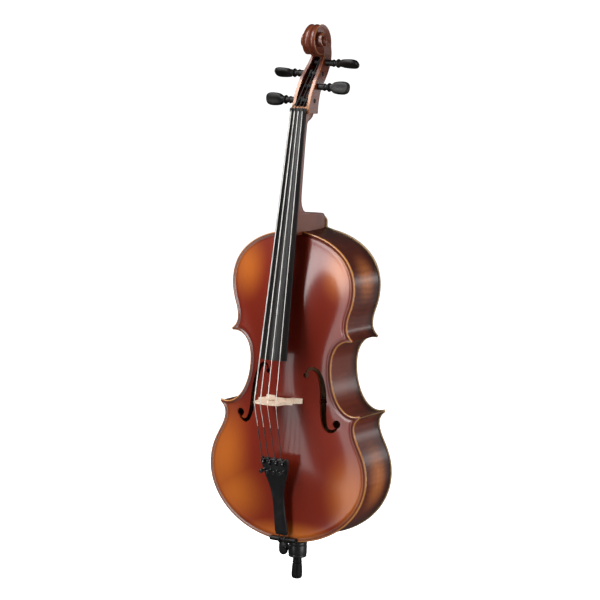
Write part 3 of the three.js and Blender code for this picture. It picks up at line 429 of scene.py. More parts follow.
def combine(piece, tools, operation="DIFFERENCE"):
    """Cuts pieces made only as tools out of `piece`, or joins them to it, and removes them."""
    for tool_piece in tools:
        change = piece.modifiers.new(operation.lower(), "BOOLEAN")
        change.operation = operation
        change.solver = "EXACT"
        change.object = tool_piece
    bpy.context.view_layer.update()
    shape = bpy.data.meshes.new_from_object(piece.evaluated_get(bpy.context.evaluated_depsgraph_get()))
    piece.modifiers.clear()
    piece.data = shape
    for tool_piece in tools:
        bpy.data.objects.remove(tool_piece)


def tool(points, faces, look="ebony"):
    """A piece that only cuts or joins."""
    return make("tool", points, faces, look, (), None, body=None)


def loft(rings):
    """Points and faces of a skin through rings that share a count, with an end face at each end."""
    count = len(rings[0])
    points = np.vstack(rings)
    faces = []
    for r in range(len(rings) - 1):
        for i in range(count):
            j = (i + 1) % count
            faces.append((r * count + i, r * count + j, (r + 1) * count + j, (r + 1) * count + i))
    last = (len(rings) - 1) * count
    faces.append(tuple(range(count))[::-1])
    faces.append(tuple(range(last, last + count)))
    return points, faces


def circle(count):
    angles = np.arange(count) * TURN / count
    return np.cos(angles), np.sin(angles)


def lathe(profile, sides=48, axis="Z", origin=(0, 0, 0), flutes=0, flute_deep=0.0, fluted=(0, 0)):
    """A turned skin from (radius, place along the axis) pairs."""
    c, s = circle(sides)
    rings = []
    for radius, along in profile:
        reach = np.full(sides, max(radius, 1e-4))
        if flutes and fluted[0] <= along <= fluted[1]:
            reach = reach - flute_deep * (0.5 + 0.5 * np.cos(np.arange(sides) * TURN / sides * flutes))
        a, b, along = reach * c, reach * s, np.full(sides, along)
        columns = {"X": (along, a, b), "Y": (b, along, a), "Z": (a, b, along)}[axis]
        rings.append(np.column_stack(columns) + np.array(origin))
    return loft(rings)


def rounded(profile, radius=0.8, steps=3):
    """A turned profile with its corners eased by short arcs."""
    out = [profile[0]]
    for before, here, after in zip(profile, profile[1:], profile[2:]):
        p, a, b = np.array(here, float), np.array(before, float), np.array(after, float)
        la, lb = np.linalg.norm(a - p), np.linalg.norm(b - p)
        r = min(radius, la * 0.45, lb * 0.45)
        start, end = p + (a - p) / la * r, p + (b - p) / lb * r
        for t in np.linspace(0, 1, steps + 1):
            out.append(tuple((1 - t) ** 2 * start + 2 * t * (1 - t) * p + t * t * end))
    out.append(profile[-1])
    return out


def spline(points, per_span=8):
    """A centripetal-like smooth run through points of any dimension."""
    pts = np.array(points, float)
    ends = [2 * pts[0] - pts[1], *pts, 2 * pts[-1] - pts[-2]]
    out = []
    for p0, p1, p2, p3 in zip(ends, ends[1:], ends[2:], ends[3:]):
        for t in np.arange(per_span) / per_span:
            out.append(0.5 * (2 * p1 + (p2 - p0) * t + (2 * p0 - 5 * p1 + 4 * p2 - p3) * t * t
                              + (3 * p1 - p0 - 3 * p2 + p3) * t ** 3))
    out.append(pts[-1])
    return np.array(out)


def tube(path, radius, sides=12):
    """A round wire along a path; the radius may be one number or one per point."""
    path = np.array(path, float)
    radii = np.broadcast_to(radius, len(path))
    across = np.array([1.0, 0.1, 0.05])
    c, s = circle(sides)
    rings = []
    for p, t, r in zip(path, directions(path), radii):
        across = across - t * across.dot(t)
        across /= np.linalg.norm(across)
        up = np.cross(t, across)
        rings.append(p + r * (c[:, None] * across + s[:, None] * up))
    return loft(rings)


def joined(*parts):
    """Several (points, faces) as one."""
    points, faces, count = [], [], 0
    for some_points, some_faces in parts:
        points.append(np.array(some_points, float))
        faces += [tuple(i + count for i in f) for f in some_faces]
        count += len(some_points)
    return np.vstack(points), faces


# ---------------------------------------------------------------- plane outlines
def directions(points):
    """Unit directions along a run of points."""
    along = np.gradient(points, axis=0)
    return along / np.linalg.norm(along, axis=1)[:, None]


def bezier(numbers, count):
    p = np.array(numbers, float).reshape(4, 2)
    t = np.linspace(0, 1, count)[:, None]
    return (1 - t) ** 3 * p[0] + 3 * (1 - t) ** 2 * t * p[1] + 3 * (1 - t) * t * t * p[2] + t ** 3 * p[3]


BOUTS = {  # Bezier curves in (x, z above the body's bottom), bottom to top
    "lower": [(0, 0, 102, 0, 185.5, 66, 185.5, 146.5),
              (185.5, 146.5, 185.5, 198.5, 154.5, 220.5, 153, 249.5),
              (153, 249.5, 152.6, 260.5, 157, 267.5, 166, 274)],
    "centre": [(163.5, 279.5, 126, 265.5, 95.5, 312.5, 95.5, 369.5),
               (95.5, 369.5, 95.5, 409.5, 116, 428.5, 140, 425)],
    "upper": [(143, 429, 133, 436.5, 129, 444.5, 129, 454.5),
              (129, 454.5, 129, 480.5, 143.5, 492.5, 143.5, 530.5),
              (143.5, 530.5, 143.5, 592.5, 92, 626.5, 38, 637), (38, 637, 25, 639.5, 10, 644.5, 0, 644.5)],
}
STEP = 3.0


def run_length(points):
    return np.linalg.norm(np.diff(points, axis=0), axis=1).sum()


def bout_curve(name, step=STEP):
    runs = []
    for numbers in BOUTS[name]:
        length = run_length(bezier(numbers, 20))
        run = bezier(numbers, max(4, math.ceil(length / step) + 1))
        runs.append(run[1:] if runs else run)
    return np.vstack(runs) + (0, BODY_Z)


def body_outline():
    """The plates' outline, anticlockwise from the bottom of the centre line."""
    lower, centre, upper = (bout_curve(name) for name in BOUTS)
    tips = [np.linspace(a[-1], b[0], 4)[1:-1] for a, b in ((lower, centre), (centre, upper))]
    right = np.vstack([lower, tips[0], centre, tips[1], upper])
    left = right[1:-1][::-1] * (-1, 1)
    return np.vstack([right, left])


def distance_to(points, loop):
    """Shortest distance from each point to a closed outline."""
    a, b = loop, np.roll(loop, -1, axis=0)
    along = b - a
    square = (along ** 2).sum(1)
    out = np.empty(len(points))
    for start in range(0, len(points), 2000):
        p = points[start:start + 2000, None, :]
        t = np.clip(((p - a) * along).sum(2) / square, 0, 1)
        near = a + t[..., None] * along
        out[start:start + 2000] = np.sqrt(((p - near) ** 2).sum(2).min(1))
    return out


def inside(points, loop):
    """Even-odd test of points against a closed outline."""
    x, z = points[:, 0], points[:, 1]
    found = np.zeros(len(points), bool)
    for (ax, az), (bx, bz) in zip(loop, np.roll(loop, -1, axis=0)):
        if az == bz:
            continue
        crosses = ((az > z) != (bz > z)) & (x < (bx - ax) * (z - az) / (bz - az) + ax)
        found ^= crosses
    return found


def inset(loop, depth):
    """The outline moved inwards; points past a corner's middle line are dropped."""
    along = np.roll(loop, -1, axis=0) - np.roll(loop, 1, axis=0)
    along /= np.linalg.norm(along, axis=1)[:, None]
    moved = loop + depth * np.column_stack([-along[:, 1], along[:, 0]])
    keep = distance_to(moved, loop) > depth * 0.985 - 0.02
    return moved[keep]


def ease(t):
    return 0.5 - 0.5 * np.cos(np.pi * np.clip(t, 0, 1))


def arch_half(z):
    low, mid, high = (bout[1] - ARCH_MARGIN for bout in (LOWER_BOUT, WAIST, UPPER_BOUT))
    bottom = (LOWER_BOUT[0] - z) / (LOWER_BOUT[0] - ARCH_MARGIN)
    top = (z - UPPER_BOUT[0]) / (BODY_LENGTH - ARCH_MARGIN - UPPER_BOUT[0])
    lower = low + (mid - low) * ease((z - LOWER_BOUT[0]) / (WAIST[0] - LOWER_BOUT[0]))
    upper = mid + (high - mid) * ease((z - WAIST[0]) / (UPPER_BOUT[0] - WAIST[0]))
    return np.select(
        [z < LOWER_BOUT[0], z < WAIST[0], z < UPPER_BOUT[0]],
        [low * np.sqrt(np.clip(1 - bottom ** 2, 0, 1)), lower, upper],
        high * np.sqrt(np.clip(1 - top ** 2, 0, 1)))


def arch_share(x, z):
    """How far up its rise the arch stands; z is above the body's bottom."""
    half = np.maximum(arch_half(z), 1e-3)
    across = 1 - ease((np.abs(x) / half) ** 1.2)
    from_ends = np.minimum((z - ARCH_MARGIN) / 190, (BODY_LENGTH - ARCH_MARGIN - z) / 150)
    return np.where(np.abs(x) < half, across * ease(from_ends) ** 0.75, 0)


def belly_y(x, z):
    return -EDGE_Y - BELLY_RISE * arch_share(np.asarray(x, float), np.asarray(z, float) - BODY_Z)


def quarter(depth, radius):
    """How far a rounded edge falls away, by distance from the outline."""
    reach = np.clip(radius - depth, 0, radius)
    return radius - np.sqrt(radius ** 2 - reach ** 2)


def triangulate(loops, extra, runs=(), snap=1e-4, sliver=1e-7):
    """A Delaunay mesh of closed outlines, open runs and loose points: its points and its triangles."""
    points, edges = [], []
    for line, closed in [(loop, True) for loop in loops] + [(run, False) for run in runs]:
        base, count = len(points), len(line)
        points += [Vector(p) for p in line]
        edges += [(base + i, base + (i + 1) % count) for i in range(count if closed else count - 1)]
    points += [Vector(p) for p in extra]
    result = delaunay_2d_cdt(points, edges, [], 0, snap)
    plane = np.array([tuple(p) for p in result[0]])
    tris = np.array([f for f in result[2] if len(f) == 3])
    a, b, c = plane[tris[:, 0]], plane[tris[:, 1]], plane[tris[:, 2]]
    area = (b[:, 0] - a[:, 0]) * (c[:, 1] - a[:, 1]) - (b[:, 1] - a[:, 1]) * (c[:, 0] - a[:, 0])
    tris[area < 0] = tris[area < 0][:, ::-1]
    return plane, tris[np.abs(area) > sliver]


def within(points, loop, holes=()):
    """Which points are inside an outline and outside its holes."""
    keep = inside(points, loop)
    for hole in holes:
        keep &= ~inside(points, hole)
    return keep


def clear_of_edges(grid, loop, clear, holes=(), hole_clear=0.0):
    """The points of a grid that stand clear inside an outline, and clear of its holes."""
    grid = grid[within(grid, loop, holes)]
    grid = grid[distance_to(grid, loop) > clear]
    for hole in holes:
        grid = grid[distance_to(grid, hole) > hole_clear]
    return grid


def filled(plane, tris, loop, holes=()):
    """The triangles whose middles are within an outline."""
    return tris[within(plane[tris].mean(axis=1), loop, holes)]


def compact(plane, tris):
    """Drops the points that no triangle uses; also returns which ones stay."""
    used = np.unique(tris)
    renumber = np.full(len(plane), -1)
    renumber[used] = np.arange(len(used))
    return plane[used], renumber[tris], used


def open_edges(tris):
    directed = {(int(t[i]), int(t[(i + 1) % 3])) for t in tris for i in range(3)}
    return [(a, b) for a, b in directed if (b, a) not in directed]


def both_sides(tris, count):
    """Faces of a skin and of its mirror, whose points follow `count` later."""
    return [tuple(int(i) for i in t) for t in tris], [tuple(int(i) + count for i in t[::-1]) for t in tris]


def thicken(plane, tris, outer, inner):
    """Closes a plane mesh between two heights: outer skin, inner skin and walls.

    Returns the points as (a, b, height), the faces, and each face's kind: 0 outer, 1 wall, 2 inner.
    """
    plane, tris, used = compact(plane, tris)
    points = np.vstack([np.column_stack([plane, height[used]]) for height in (outer, inner)])
    count = len(plane)
    rim = [(a, a + count, b + count, b) for a, b in open_edges(tris)]
    skin, back = both_sides(tris, count)
    kinds = [0] * len(skin) + [1] * len(rim) + [2] * len(back)
    return points, skin + rim + back, kinds, used


# ---------------------------------------------------------------- plates and ribs
F_STEM = [(44.6, 440), (46.5, 449), (55.7, 454), (68, 446), (76, 427), (80.5, 404), (82.5, 380),
          (85.5, 354), (92, 335.5), (103, 330), (113, 336), (113.3, 345.4)]
F_EYES = [(44.6, 440, 5.6), (113.3, 345.4, 8.4)]
F_NICK_Z = 387.0


def f_hole(side):
    """The outlines that together make one f-hole: stem, two eyes and two nicks."""
    stem = spline(F_STEM, 6)
    along = directions(stem)
    half = 2.0 + 4.8 * np.sin(np.pi * np.linspace(0, 1, len(stem))) ** 2
    normal = np.column_stack([along[:, 1], -along[:, 0]]) * half[:, None]
    shapes = [np.vstack([stem + normal, (stem - normal)[::-1]])]
    c, s = circle(28)
    shapes += [np.column_stack([x + r * c, z + r * s]) for x, z, r in F_EYES]
    middle = int(np.abs(stem[:, 1] - F_NICK_Z).argmin())
    for sign in (-1, 1):
        tip = stem[middle] + sign * normal[middle] * 1.45
        root = stem[middle] + sign * normal[middle] * 0.8
        shapes.append(np.array([tip, root + (0, 2.2), root - (0, 2.2)]))
    return [shape * (side, 1) for shape in shapes]


RING_DEPTHS = (0.12, 0.45, 0.95, 1.5, 2.1, 3.0, 3.9, 5.3, 6.8, 8.5, 10.5, 13.0, 16.5)
LATTICE = 5.0


def plate(name, side, rise, loop, holes, look, nodes, slot):
    outline = body_outline()
    rings = [loop] + [inset(loop, depth) for depth in RING_DEPTHS]
    half = math.ceil(loop[:, 0].max() / LATTICE)
    across = np.arange(-half, half + 1) * LATTICE
    grid = np.array([(x, z) for z in np.arange(loop[:, 1].min(), loop[:, 1].max(), LATTICE) for x in across])
    grid = clear_of_edges(grid, loop, RING_DEPTHS[-1] + 2.5, holes, LATTICE * 0.4)
    plane, tris = triangulate(rings + holes, grid)
    tris = filled(plane, tris, loop, holes)
    edge = distance_to(plane, loop)
    swell = rise * arch_share(plane[:, 0], plane[:, 1] - BODY_Z)
    channel = CHANNEL_DEEP * np.sin(np.pi * np.clip((edge - 2.6) / CHANNEL_WIDE, 0, 1)) ** 2
    outer = side * (EDGE_Y + swell - channel - quarter(edge, EDGE_ROUND))
    inner = side * (EDGE_Y - PLATE + swell + quarter(edge, UNDER_ROUND))
    points, faces, kinds, used = thicken(plane, tris, outer, inner)
    inlay = np.where(inside(plane, outline), distance_to(plane, outline), 99.0)[used]
    points = points[:, [0, 2, 1]]
    piece = make(name, points, faces, [look, look, "spruce"], nodes, slot, face_looks=kinds, weld=False,
                 sharp=38)
    attribute = piece.data.attributes.new("edge", "FLOAT", "POINT")
    attribute.data.foreach_set("value", np.concatenate([inlay, inlay]).astype(np.float32))


def make_plates():
    outline = body_outline()
    saddle = np.array([(-30.3, 80), (30.3, 80), (30.3, 98.3), (-30.3, 98.3)])
    mortise = np.array([(-19.3, 722.7), (19.3, 722.7), (19.3, 745), (-19.3, 745)])
    holes = [*f_hole(-1), *f_hole(1), saddle, mortise]
    plate("carved_belly", -1, BELLY_RISE, outline, holes, "belly", ["top_plate"], "belly_varnish")
    plate("carved_back", 1, BACK_RISE, with_button(outline), [], "back", ["back_plate"], "maple_varnish")


def with_button(outline):
    """The back's outline, with the round button that backs the neck's heel."""
    radius, top = BUTTON_RADIUS, BODY_Z + BODY_LENGTH
    keep = (np.abs(outline[:, 0]) > radius + 0.8) | (outline[:, 1] < top - 60)
    start = int(np.argmax(~keep))
    arc = np.linspace(0, math.pi, 22)
    button = np.column_stack([radius * np.cos(arc), top + BUTTON_RISE + radius * np.sin(arc)])
    button = np.vstack([(radius, top - 0.9), button, (-radius, top - 0.9)])
    return np.vstack([outline[:start], button, outline[start:][keep[start:]]])


def heel_half(y):
    """The heel's half-width by depth."""
    return np.interp(y, [-95, 52.2], [21.4, 12.0])


def rib_runs(bout, side):
    """Outer and inner lines of one rib, bottom to top."""
    outline = body_outline()
    curve = bout_curve(bout)
    along = directions(curve)
    normal = np.column_stack([-along[:, 1], along[:, 0]])
    runs = []
    for depth in (OVERHANG, OVERHANG + RIB):
        moved = curve + normal * depth
        moved = moved[distance_to(moved, outline) > depth * 0.985 - 0.02]
        runs.append(moved * (side, 1))
    return runs


def rib(bout, side, label):
    outer, inner = rib_runs(bout, side)
    count = min(len(outer), len(inner))
    outer, inner = (run[np.linspace(0, len(run) - 1, count).round().astype(int)] for run in (outer, inner))
    tall = EDGE_Y - PLATE + 0.02
    levels = np.linspace(-tall, tall, 9)
    points, faces = [], []
    for y in levels:
        for run in (outer, inner):
            line = run.copy()
            if bout == "upper":
                half = heel_half(y) - 0.4
                line = line[::-1].copy()
                line[:, 0] = np.where(np.abs(line[:, 0]) < half, side * half, line[:, 0])
                line = line[::-1]
            points += [(x, y, z) for x, z in line]
    at = lambda level, which, i: (level * 2 + which) * count + i
    for level in range(len(levels) - 1):
        for i in range(count - 1):
            faces.append((at(level, 0, i), at(level, 0, i + 1), at(level + 1, 0, i + 1), at(level + 1, 0, i)))
            faces.append((at(level, 1, i + 1), at(level, 1, i), at(level + 1, 1, i), at(level + 1, 1, i + 1)))
        for i in (0, count - 1):
            faces.append((at(level, 0, i), at(level + 1, 0, i), at(level + 1, 1, i), at(level, 1, i)))
    last = len(levels) - 1
    for i in range(count - 1):
        for level in (0, last):
            faces.append((at(level, 0, i), at(level, 1, i), at(level, 1, i + 1), at(level, 0, i + 1)))
    piece = make(f"bent_{bout}_rib_{label}", points, faces, "ribs", [f"{bout}_rib_{label}"], "maple_varnish",
                 sharp=50)
    if bout == "lower":
        combine(piece, [tool(*lathe([(12.6, 82), (12.6, 112)], 32))])
    return piece


def make_ribs():
    for label, side in (("bass", -1), ("treble", 1)):
        for bout in BOUTS:
            rib(bout, side, label)


INNER_PIECES = ["top_block", "bottom_block", "front_lining", "back_lining", "bass_bar", "sound_post"]


def finish_inner_pieces():
    names = INNER_PIECES + [f"{which}_corner_block_{label}" for which in ("lower", "upper")
                            for label in ("bass", "treble")]
    for name in names:
        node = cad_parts[name]
        node.data.materials.clear()
        node.data.materials.append(LOOKS["spruce"])


# ---------------------------------------------------------------- neck, pegbox, scroll
NECK_SLOPE, BOARD_BACK_AT_NUT = 0.1375, -53.5


def board_back(z):
    return BOARD_BACK_AT_NUT - (NUT_Z - z) * NECK_SLOPE


SECTIONS = [  # z, half-width in front, taper to the back, y of the back, squareness
    (723.0, 21.0, 0.571, 51.2, 0.12), (735, 21, 0.571, 51.2, 0.12), (749, 21, 0.571, 51.1, 0.13),
    (753, 21, 0.573, 50.2, 0.14), (756, 21, 0.58, 48.6, 0.16), (758.2, 21, 0.59, 46.4, 0.18),
    (759.8, 21, 0.60, 43.2, 0.20), (760.7, 21, 0.61, 39, 0.22), (761.3, 21, 0.66, 30, 0.24),
    (762.9, 21, 0.72, 10, 0.26), (764.6, 21, 0.78, -11, 0.3), (766.3, 20.9, 0.86, -30, 0.4),
    (768, 20.8, 0.92, -38.5, 0.5),
    (772, 20.6, 0.97, -45, 0.62), (780, 20.5, 1, -49.5, 0.8), (790, 20.5, 1, -51.4, 0.95),
    (802, 20.5, 1, -51.6, 1), (826, 20.3, 1, -50.2, 1), (850, 20, 1, -48.6, 1), (876, 19.6, 1, -46.2, 1),
    (900, 19, 1, -43.7, 1), (920, 18.7, 1, -41.2, 1), (936, 18.5, 1, -39.0, 1), (943, 18.5, 1, -38.2, 1),
    (946, 18.5, 1, -37.4, 0.98), (948.4, 18.5, 0.99, -35.4, 0.95), (950, 18.4, 0.97, -32.2, 0.92),
    (951.5, 18.3, 0.95, -27.6, 0.86), (953.4, 18.3, 0.92, -22.0, 0.8), (956, 18.2, 0.9, -16.8, 0.74),
    (959.2, 18.2, 0.88, -13.0, 0.68), (962.5, 18.3, 0.87, -11.3, 0.62), (966, 18.6, 0.87, -10.9, 0.55),
]


def handle():
    """Heel, handle and chin as one skin of rounded sections."""
    count = 28
    rings = []
    for z, half, taper, back, square in SECTIONS:
        front = board_back(z) + 0.1
        t = np.linspace(0, np.pi, count)
        reach = np.sin(t) ** (0.75 * square)
        depth = front + (back - front) * reach
        cosine = np.sign(np.cos(t)) * np.abs(np.cos(t)) ** square
        wide = half * (1 + (taper - 1) * reach)
        rings.append(np.column_stack([wide * cosine, depth, np.full(count, z)]))
    return loft(rings)


HEAD_FRONT = [(-50.5, 965), (-48, 977), (-42, 994), (-36, 1009), (-28, 1022), (-20, 1035.5), (-9, 1048.6),
              (2, 1062), (10, 1073), (15.5, 1081)]
HEAD_BACK = [(44.5, 1098), (46, 1086), (43.5, 1073), (36, 1059), (26, 1046), (16, 1034), (6, 1022),
             (-2, 1010), (-7, 995), (-10, 980), (-11, 965)]
SPIRAL = [  # degrees from the back over the top to the front, centre y, radius, half-width
    (-20, 8.0, 37.5, 15), (0, 8, 36, 14.9), (90, 7.5, 33.6, 13.2), (180, 4, 29, 15), (270, 3, 27.8, 17),
    (360, 1, 20, 20), (450, 0, 16.8, 22.5), (540, -1, 13.8, 24.6), (630, -2, 11.6, 26.2),
    (720, -2.5, 8.6, 27.4), (800, -2.5, 6.3, 28.2),
]
SPIRAL_Z = 1110.8
EYE_RADIUS, EYE_X = 6.3, 28.3
CHAMFER = 1.1


def spiral_at(degrees):
    keys = np.array(SPIRAL, float)
    return [smooth_interp(degrees, keys[:, 0], keys[:, k]) for k in (1, 2, 3)]


def smooth_interp(x, xs, ys):
    """A monotone cubic run through the keys."""
    x = np.clip(np.asarray(x, float), xs[0], xs[-1])
    slope = np.gradient(ys, xs)
    i = np.clip(np.searchsorted(xs, x, side="right") - 1, 0, len(xs) - 2)
    width = xs[i + 1] - xs[i]
    t = (x - xs[i]) / width
    h00, h10 = 2 * t ** 3 - 3 * t ** 2 + 1, t ** 3 - 2 * t ** 2 + t
    h01, h11 = -2 * t ** 3 + 3 * t ** 2, t ** 3 - t ** 2
    return h00 * ys[i] + h10 * width * slope[i] + h01 * ys[i + 1] + h11 * width * slope[i + 1]


def spiral_points(start, end, step, out=0.0):
    """Points (y, z) along the volute's edge, moved outwards by `out`."""
    angles = np.arange(start, end + 0.01, step)
    centre, radius, _ = spiral_at(angles)
    a = np.radians(angles)
    return np.column_stack([centre + (radius + out) * np.cos(a), SPIRAL_Z + (radius + out) * np.sin(a)])


THROAT, SPIRAL_END = 292, 796


def head_outline():
    """Side view of the head, closed: up the front, round the scroll, down the back."""
    front = spline(HEAD_FRONT, 5)
    scroll = spiral_points(-16, 284, 5)[::-1]
    back = spline(HEAD_BACK, 5)
    bottom = np.linspace(back[-1], front[0], 12)[1:-1]
    return np.vstack([front, scroll, back, bottom])


def cheek_half(z):
    return smooth_interp(z, np.array([960.0, 1000, 1040, 1078, 1105, 1146]),
                         np.array([20.5, 20.5, 20.2, 15.9, 15, 13.2]))


def angle_round(y, z, centre):
    """Degrees round the volute from the back, 0 to 360."""
    return np.degrees(np.arctan2(z - SPIRAL_Z, y - centre)) % 360


def toward_next_turn(y, z, inward, ahead):
    """0 on one turn's edge and 1 on the next turn's; `inward` is the depth inside the first."""
    centre, radius, _ = spiral_at(ahead)
    far = np.hypot(y - centre, z - SPIRAL_Z)
    return np.clip(inward / np.maximum(inward + far - radius, 1e-3), 0, 1)


def side_reach(plane, outline):
    """Distance from the middle plane to the head's side at each (y, z), and whether it is on a chamfer."""
    y, z = plane[:, 0], plane[:, 1]
    edge = distance_to(plane, outline)
    chamfer = edge < CHAMFER - 0.01
    reach = cheek_half(z) - np.clip(CHAMFER - edge, 0, CHAMFER)
    for turn in range(3):
        degrees = angle_round(y, z, 3) + 360 * turn
        for _ in range(3):
            degrees = angle_round(y, z, spiral_at(degrees)[0]) + 360 * turn
        centre, radius, half = spiral_at(degrees)
        inward = radius - np.hypot(y - centre, z - SPIRAL_Z)
        if turn == 0:
            on_turn = (inward > -0.3) & ((degrees < 290) | (degrees > 335))
            swell = np.where(degrees < 290, np.clip(half - cheek_half(z), 0, 4), 0)
            fade = np.where(degrees > 300, ease((degrees - 330) / 30), 1.0)
            scoop = 3.2 * ease(toward_next_turn(y, z, inward, degrees + 360) * 1.15) * fade
            reach = np.where(on_turn, reach + swell - scoop, reach)
        else:
            on_turn = (inward >= -0.2) & (degrees >= THROAT) & (degrees <= SPIRAL_END)
            ahead = np.minimum(degrees + 360, SPIRAL[-1][0])
            scoop = 4.2 * ease(toward_next_turn(y, z, inward, ahead) * 1.1)
            reach = np.where(on_turn, half - scoop - np.clip(CHAMFER - inward, 0, CHAMFER), reach)
            chamfer = np.where(on_turn, inward < CHAMFER - 0.01, chamfer)
    r = np.hypot(y - SPIRAL[-1][1], z - SPIRAL_Z)
    eye = r <= EYE_RADIUS + 0.1
    reach = np.where(eye, EYE_X - 1.6 * (r / EYE_RADIUS) ** 2, reach)
    return reach, chamfer & ~eye


def head():
    """Pegbox and scroll: both carved sides, and the fluted band between them."""
    outline = head_outline()
    rings = [outline, inset(outline[::-1], CHAMFER), inset(outline[::-1], 4.0)]
    c, s = circle(28)
    eye_y = SPIRAL[-1][1]
    eyes = [np.column_stack([eye_y + r * c, SPIRAL_Z + r * s]) for r in (EYE_RADIUS, EYE_RADIUS * 0.55)]
    runs = [spiral_points(THROAT, SPIRAL_END, 6, out) for out in (0.75, 0.0, -CHAMFER)]
    (y_low, z_low), (y_high, z_high) = outline.min(0), outline.max(0)
    grid = [(y, z) for z in np.arange(z_low, z_high, 3.0) for y in np.arange(y_low, y_high, 3.0)]
    grid = clear_of_edges(np.array(grid), outline, 5.0)
    near = np.vstack(runs + eyes)
    gap = np.sqrt(((grid[:, None] - near[None]) ** 2).sum(2).min(1))
    plane, tris = triangulate(rings + eyes, grid[gap > 1.3], runs, 1e-3, 1e-8)
    plane, tris, _ = compact(plane, filled(plane, tris, outline))
    reach, _ = side_reach(plane, outline)
    _, on_chamfer = side_reach(plane[tris].mean(axis=1), outline)
    count = len(plane)
    right = np.column_stack([reach, plane])
    left = np.column_stack([-reach, plane])
    after = dict(open_edges(tris))
    loop = [next(iter(after))]
    while after[loop[-1]] != loop[0]:
        loop.append(after[loop[-1]])
    band, band_faces, band_kinds = fluted_band(right, plane, loop, count)
    points = np.vstack([right, left, band])
    treble, bass = both_sides(tris, count)
    kinds = [int(flag) for flag in on_chamfer] * 2 + band_kinds
    return points, treble + bass + band_faces, kinds


def fluted_band(right, plane, loop, count, columns=13):
    """The band between the two sides: two flutes with a ridge between them round the back and scroll."""
    rim = plane[loop]
    along = np.roll(rim, -1, axis=0) - np.roll(rim, 1, axis=0)
    along /= np.maximum(np.linalg.norm(along, axis=1), 1e-6)[:, None]
    inward = np.column_stack([-along[:, 1], along[:, 0]])
    if not inside(rim[:1] + inward[:1] * 0.5, rim)[0]:
        inward = -inward
    y, z = rim[:, 0], rim[:, 1]
    front = (y < np.interp(z, [965, 1050, 1090], [-30, 5, 22])) & (z < 1083)
    deep = np.where(front, 0, ease((z - 972) / 40)) * np.where(z > 1060, 2.6, 2.1)
    shares = np.linspace(1, -1, columns)[1:-1]
    band, faces = [], []
    for k, share in enumerate(shares):
        flute = np.sin(np.pi * min(1.0, abs(share) * 1.06)) ** 0.8 if abs(share) < 0.94 else 0
        place = rim + inward * (deep * flute)[:, None]
        band.append(np.column_stack([right[loop][:, 0] * share, place]))
    size = len(loop)
    first = 2 * count
    column = [list(loop)] + [[first + k * size + i for i in range(size)] for k in range(len(shares))]
    column.append([i + count for i in loop])
    kinds = []
    for a, b in zip(column, column[1:]):
        for i in range(size):
            j = (i + 1) % size
            faces.append((a[j], a[i], b[i], b[j]))
            kinds.append(1 if front[i] and 968 < z[i] < 1034 else 0)
    return np.vstack(band), faces, kinds


HOLLOW_FLOOR = [(-18, 979), (-17, 982), (-13, 998), (-7, 1013), (0, 1024), (10, 1036), (19, 1047), (25, 1058),
                (31, 1070), (33, 1079)]


def pegbox_hollow():
    """The cutter for the pegbox: open to the front, its floor following the back."""
    floor = spline(HOLLOW_FLOOR, 4)
    mouth = np.interp(floor[:, 1], [979, 1022, 1048.6, 1079], [-62, -42, -24, -2])
    rings = []
    for (y_floor, z), y_mouth in zip(floor, mouth):
        half = np.interp(z, [975, 1040, 1080], [13.5, 13, 9.2])
        right = [(half, y_mouth), (half, y_floor - 3), (half - 0.8, y_floor - 0.9), (half - 3, y_floor)]
        left = [(-x, y) for x, y in right[::-1]]
        rings.append(np.array([(x, y, z) for x, y in [left[-1], *right, *left[:-1]]]))
    return loft(rings)


def make_neck():
    points, faces, kinds = head()
    neck = make("carved_neck_and_scroll", points, faces, ["neck", "neck_edge", "neck_dark"], ["neck"],
                "maple_varnish", face_looks=kinds, weld=False, sharp=30)
    combine(neck, [tool(*handle(), look="neck")], "UNION")
    hollow = tool(*pegbox_hollow(), look="neck_dark")
    holes = []
    for side, z, y, _, _ in PEGS.values():
        ends = [(PEG_FAR + 0.25, -24 * side), (PEG_NEAR + 0.25, 24 * side)]
        holes.append(tool(*lathe(ends, 24, "X", (0, y, z)), look="neck_dark"))
    combine(neck, [hollow, *holes])
    soften(neck.data, 32)


# ---------------------------------------------------------------- fingerboard, nut, saddle
def crown_drop(x, radius):
    """How far a round crown falls away from its top."""
    return radius - np.sqrt(radius ** 2 - x ** 2)


def board_crown(z):
    """The top of the fingerboard's curve, from the nut down to its free end."""
    return CROWN_AT_NUT + (CROWN_AT_END - CROWN_AT_NUT) * (NUT_Z - z) / (NUT_Z - BOARD_END_Z)


def make_fingerboard():
    top, steps = NUT_Z - 0.15, 20
    rings = []
    for z in np.linspace(BOARD_END_Z, top, 40):
        share = (z - BOARD_END_Z) / (NUT_Z - BOARD_END_Z)
        half = BOARD_END_HALF + (BOARD_NUT_HALF - BOARD_END_HALF) * share
        relief = 0.7 * np.sin(np.pi * share)
        x = np.linspace(half, -half, steps)
        y = board_crown(z) + crown_drop(x, BOARD_RADIUS) + relief
        y = y + 0.8 * np.clip(np.abs(x) - half + 1.0, 0, 1) ** 2
        flat = board_back(z)
        scoop = 5.0 * ease((690 - z) / 60) if z < 690 else 0.0
        under = np.linspace(-half + 0.7, half - 0.7, 9)
        lift = scoop * np.cos(np.clip(under / (half - 5), -1, 1) * np.pi / 2) ** 0.5
        ring = np.vstack([np.column_stack([x, y]), np.column_stack([under, flat - lift])])
        rings.append(np.column_stack([ring, np.full(len(ring), z)]))
    board = make("cambered_fingerboard", *loft(rings), "board", ["fingerboard"], "ebony", sharp=28)
    bevelled(board, 0.5, 40)


def string_nut_y(x):
    return STRINGS_AT_NUT + crown_drop(x, CAMBER)


def string_bridge_y(x):
    return STRINGS_AT_BRIDGE + crown_drop(x, CAMBER)


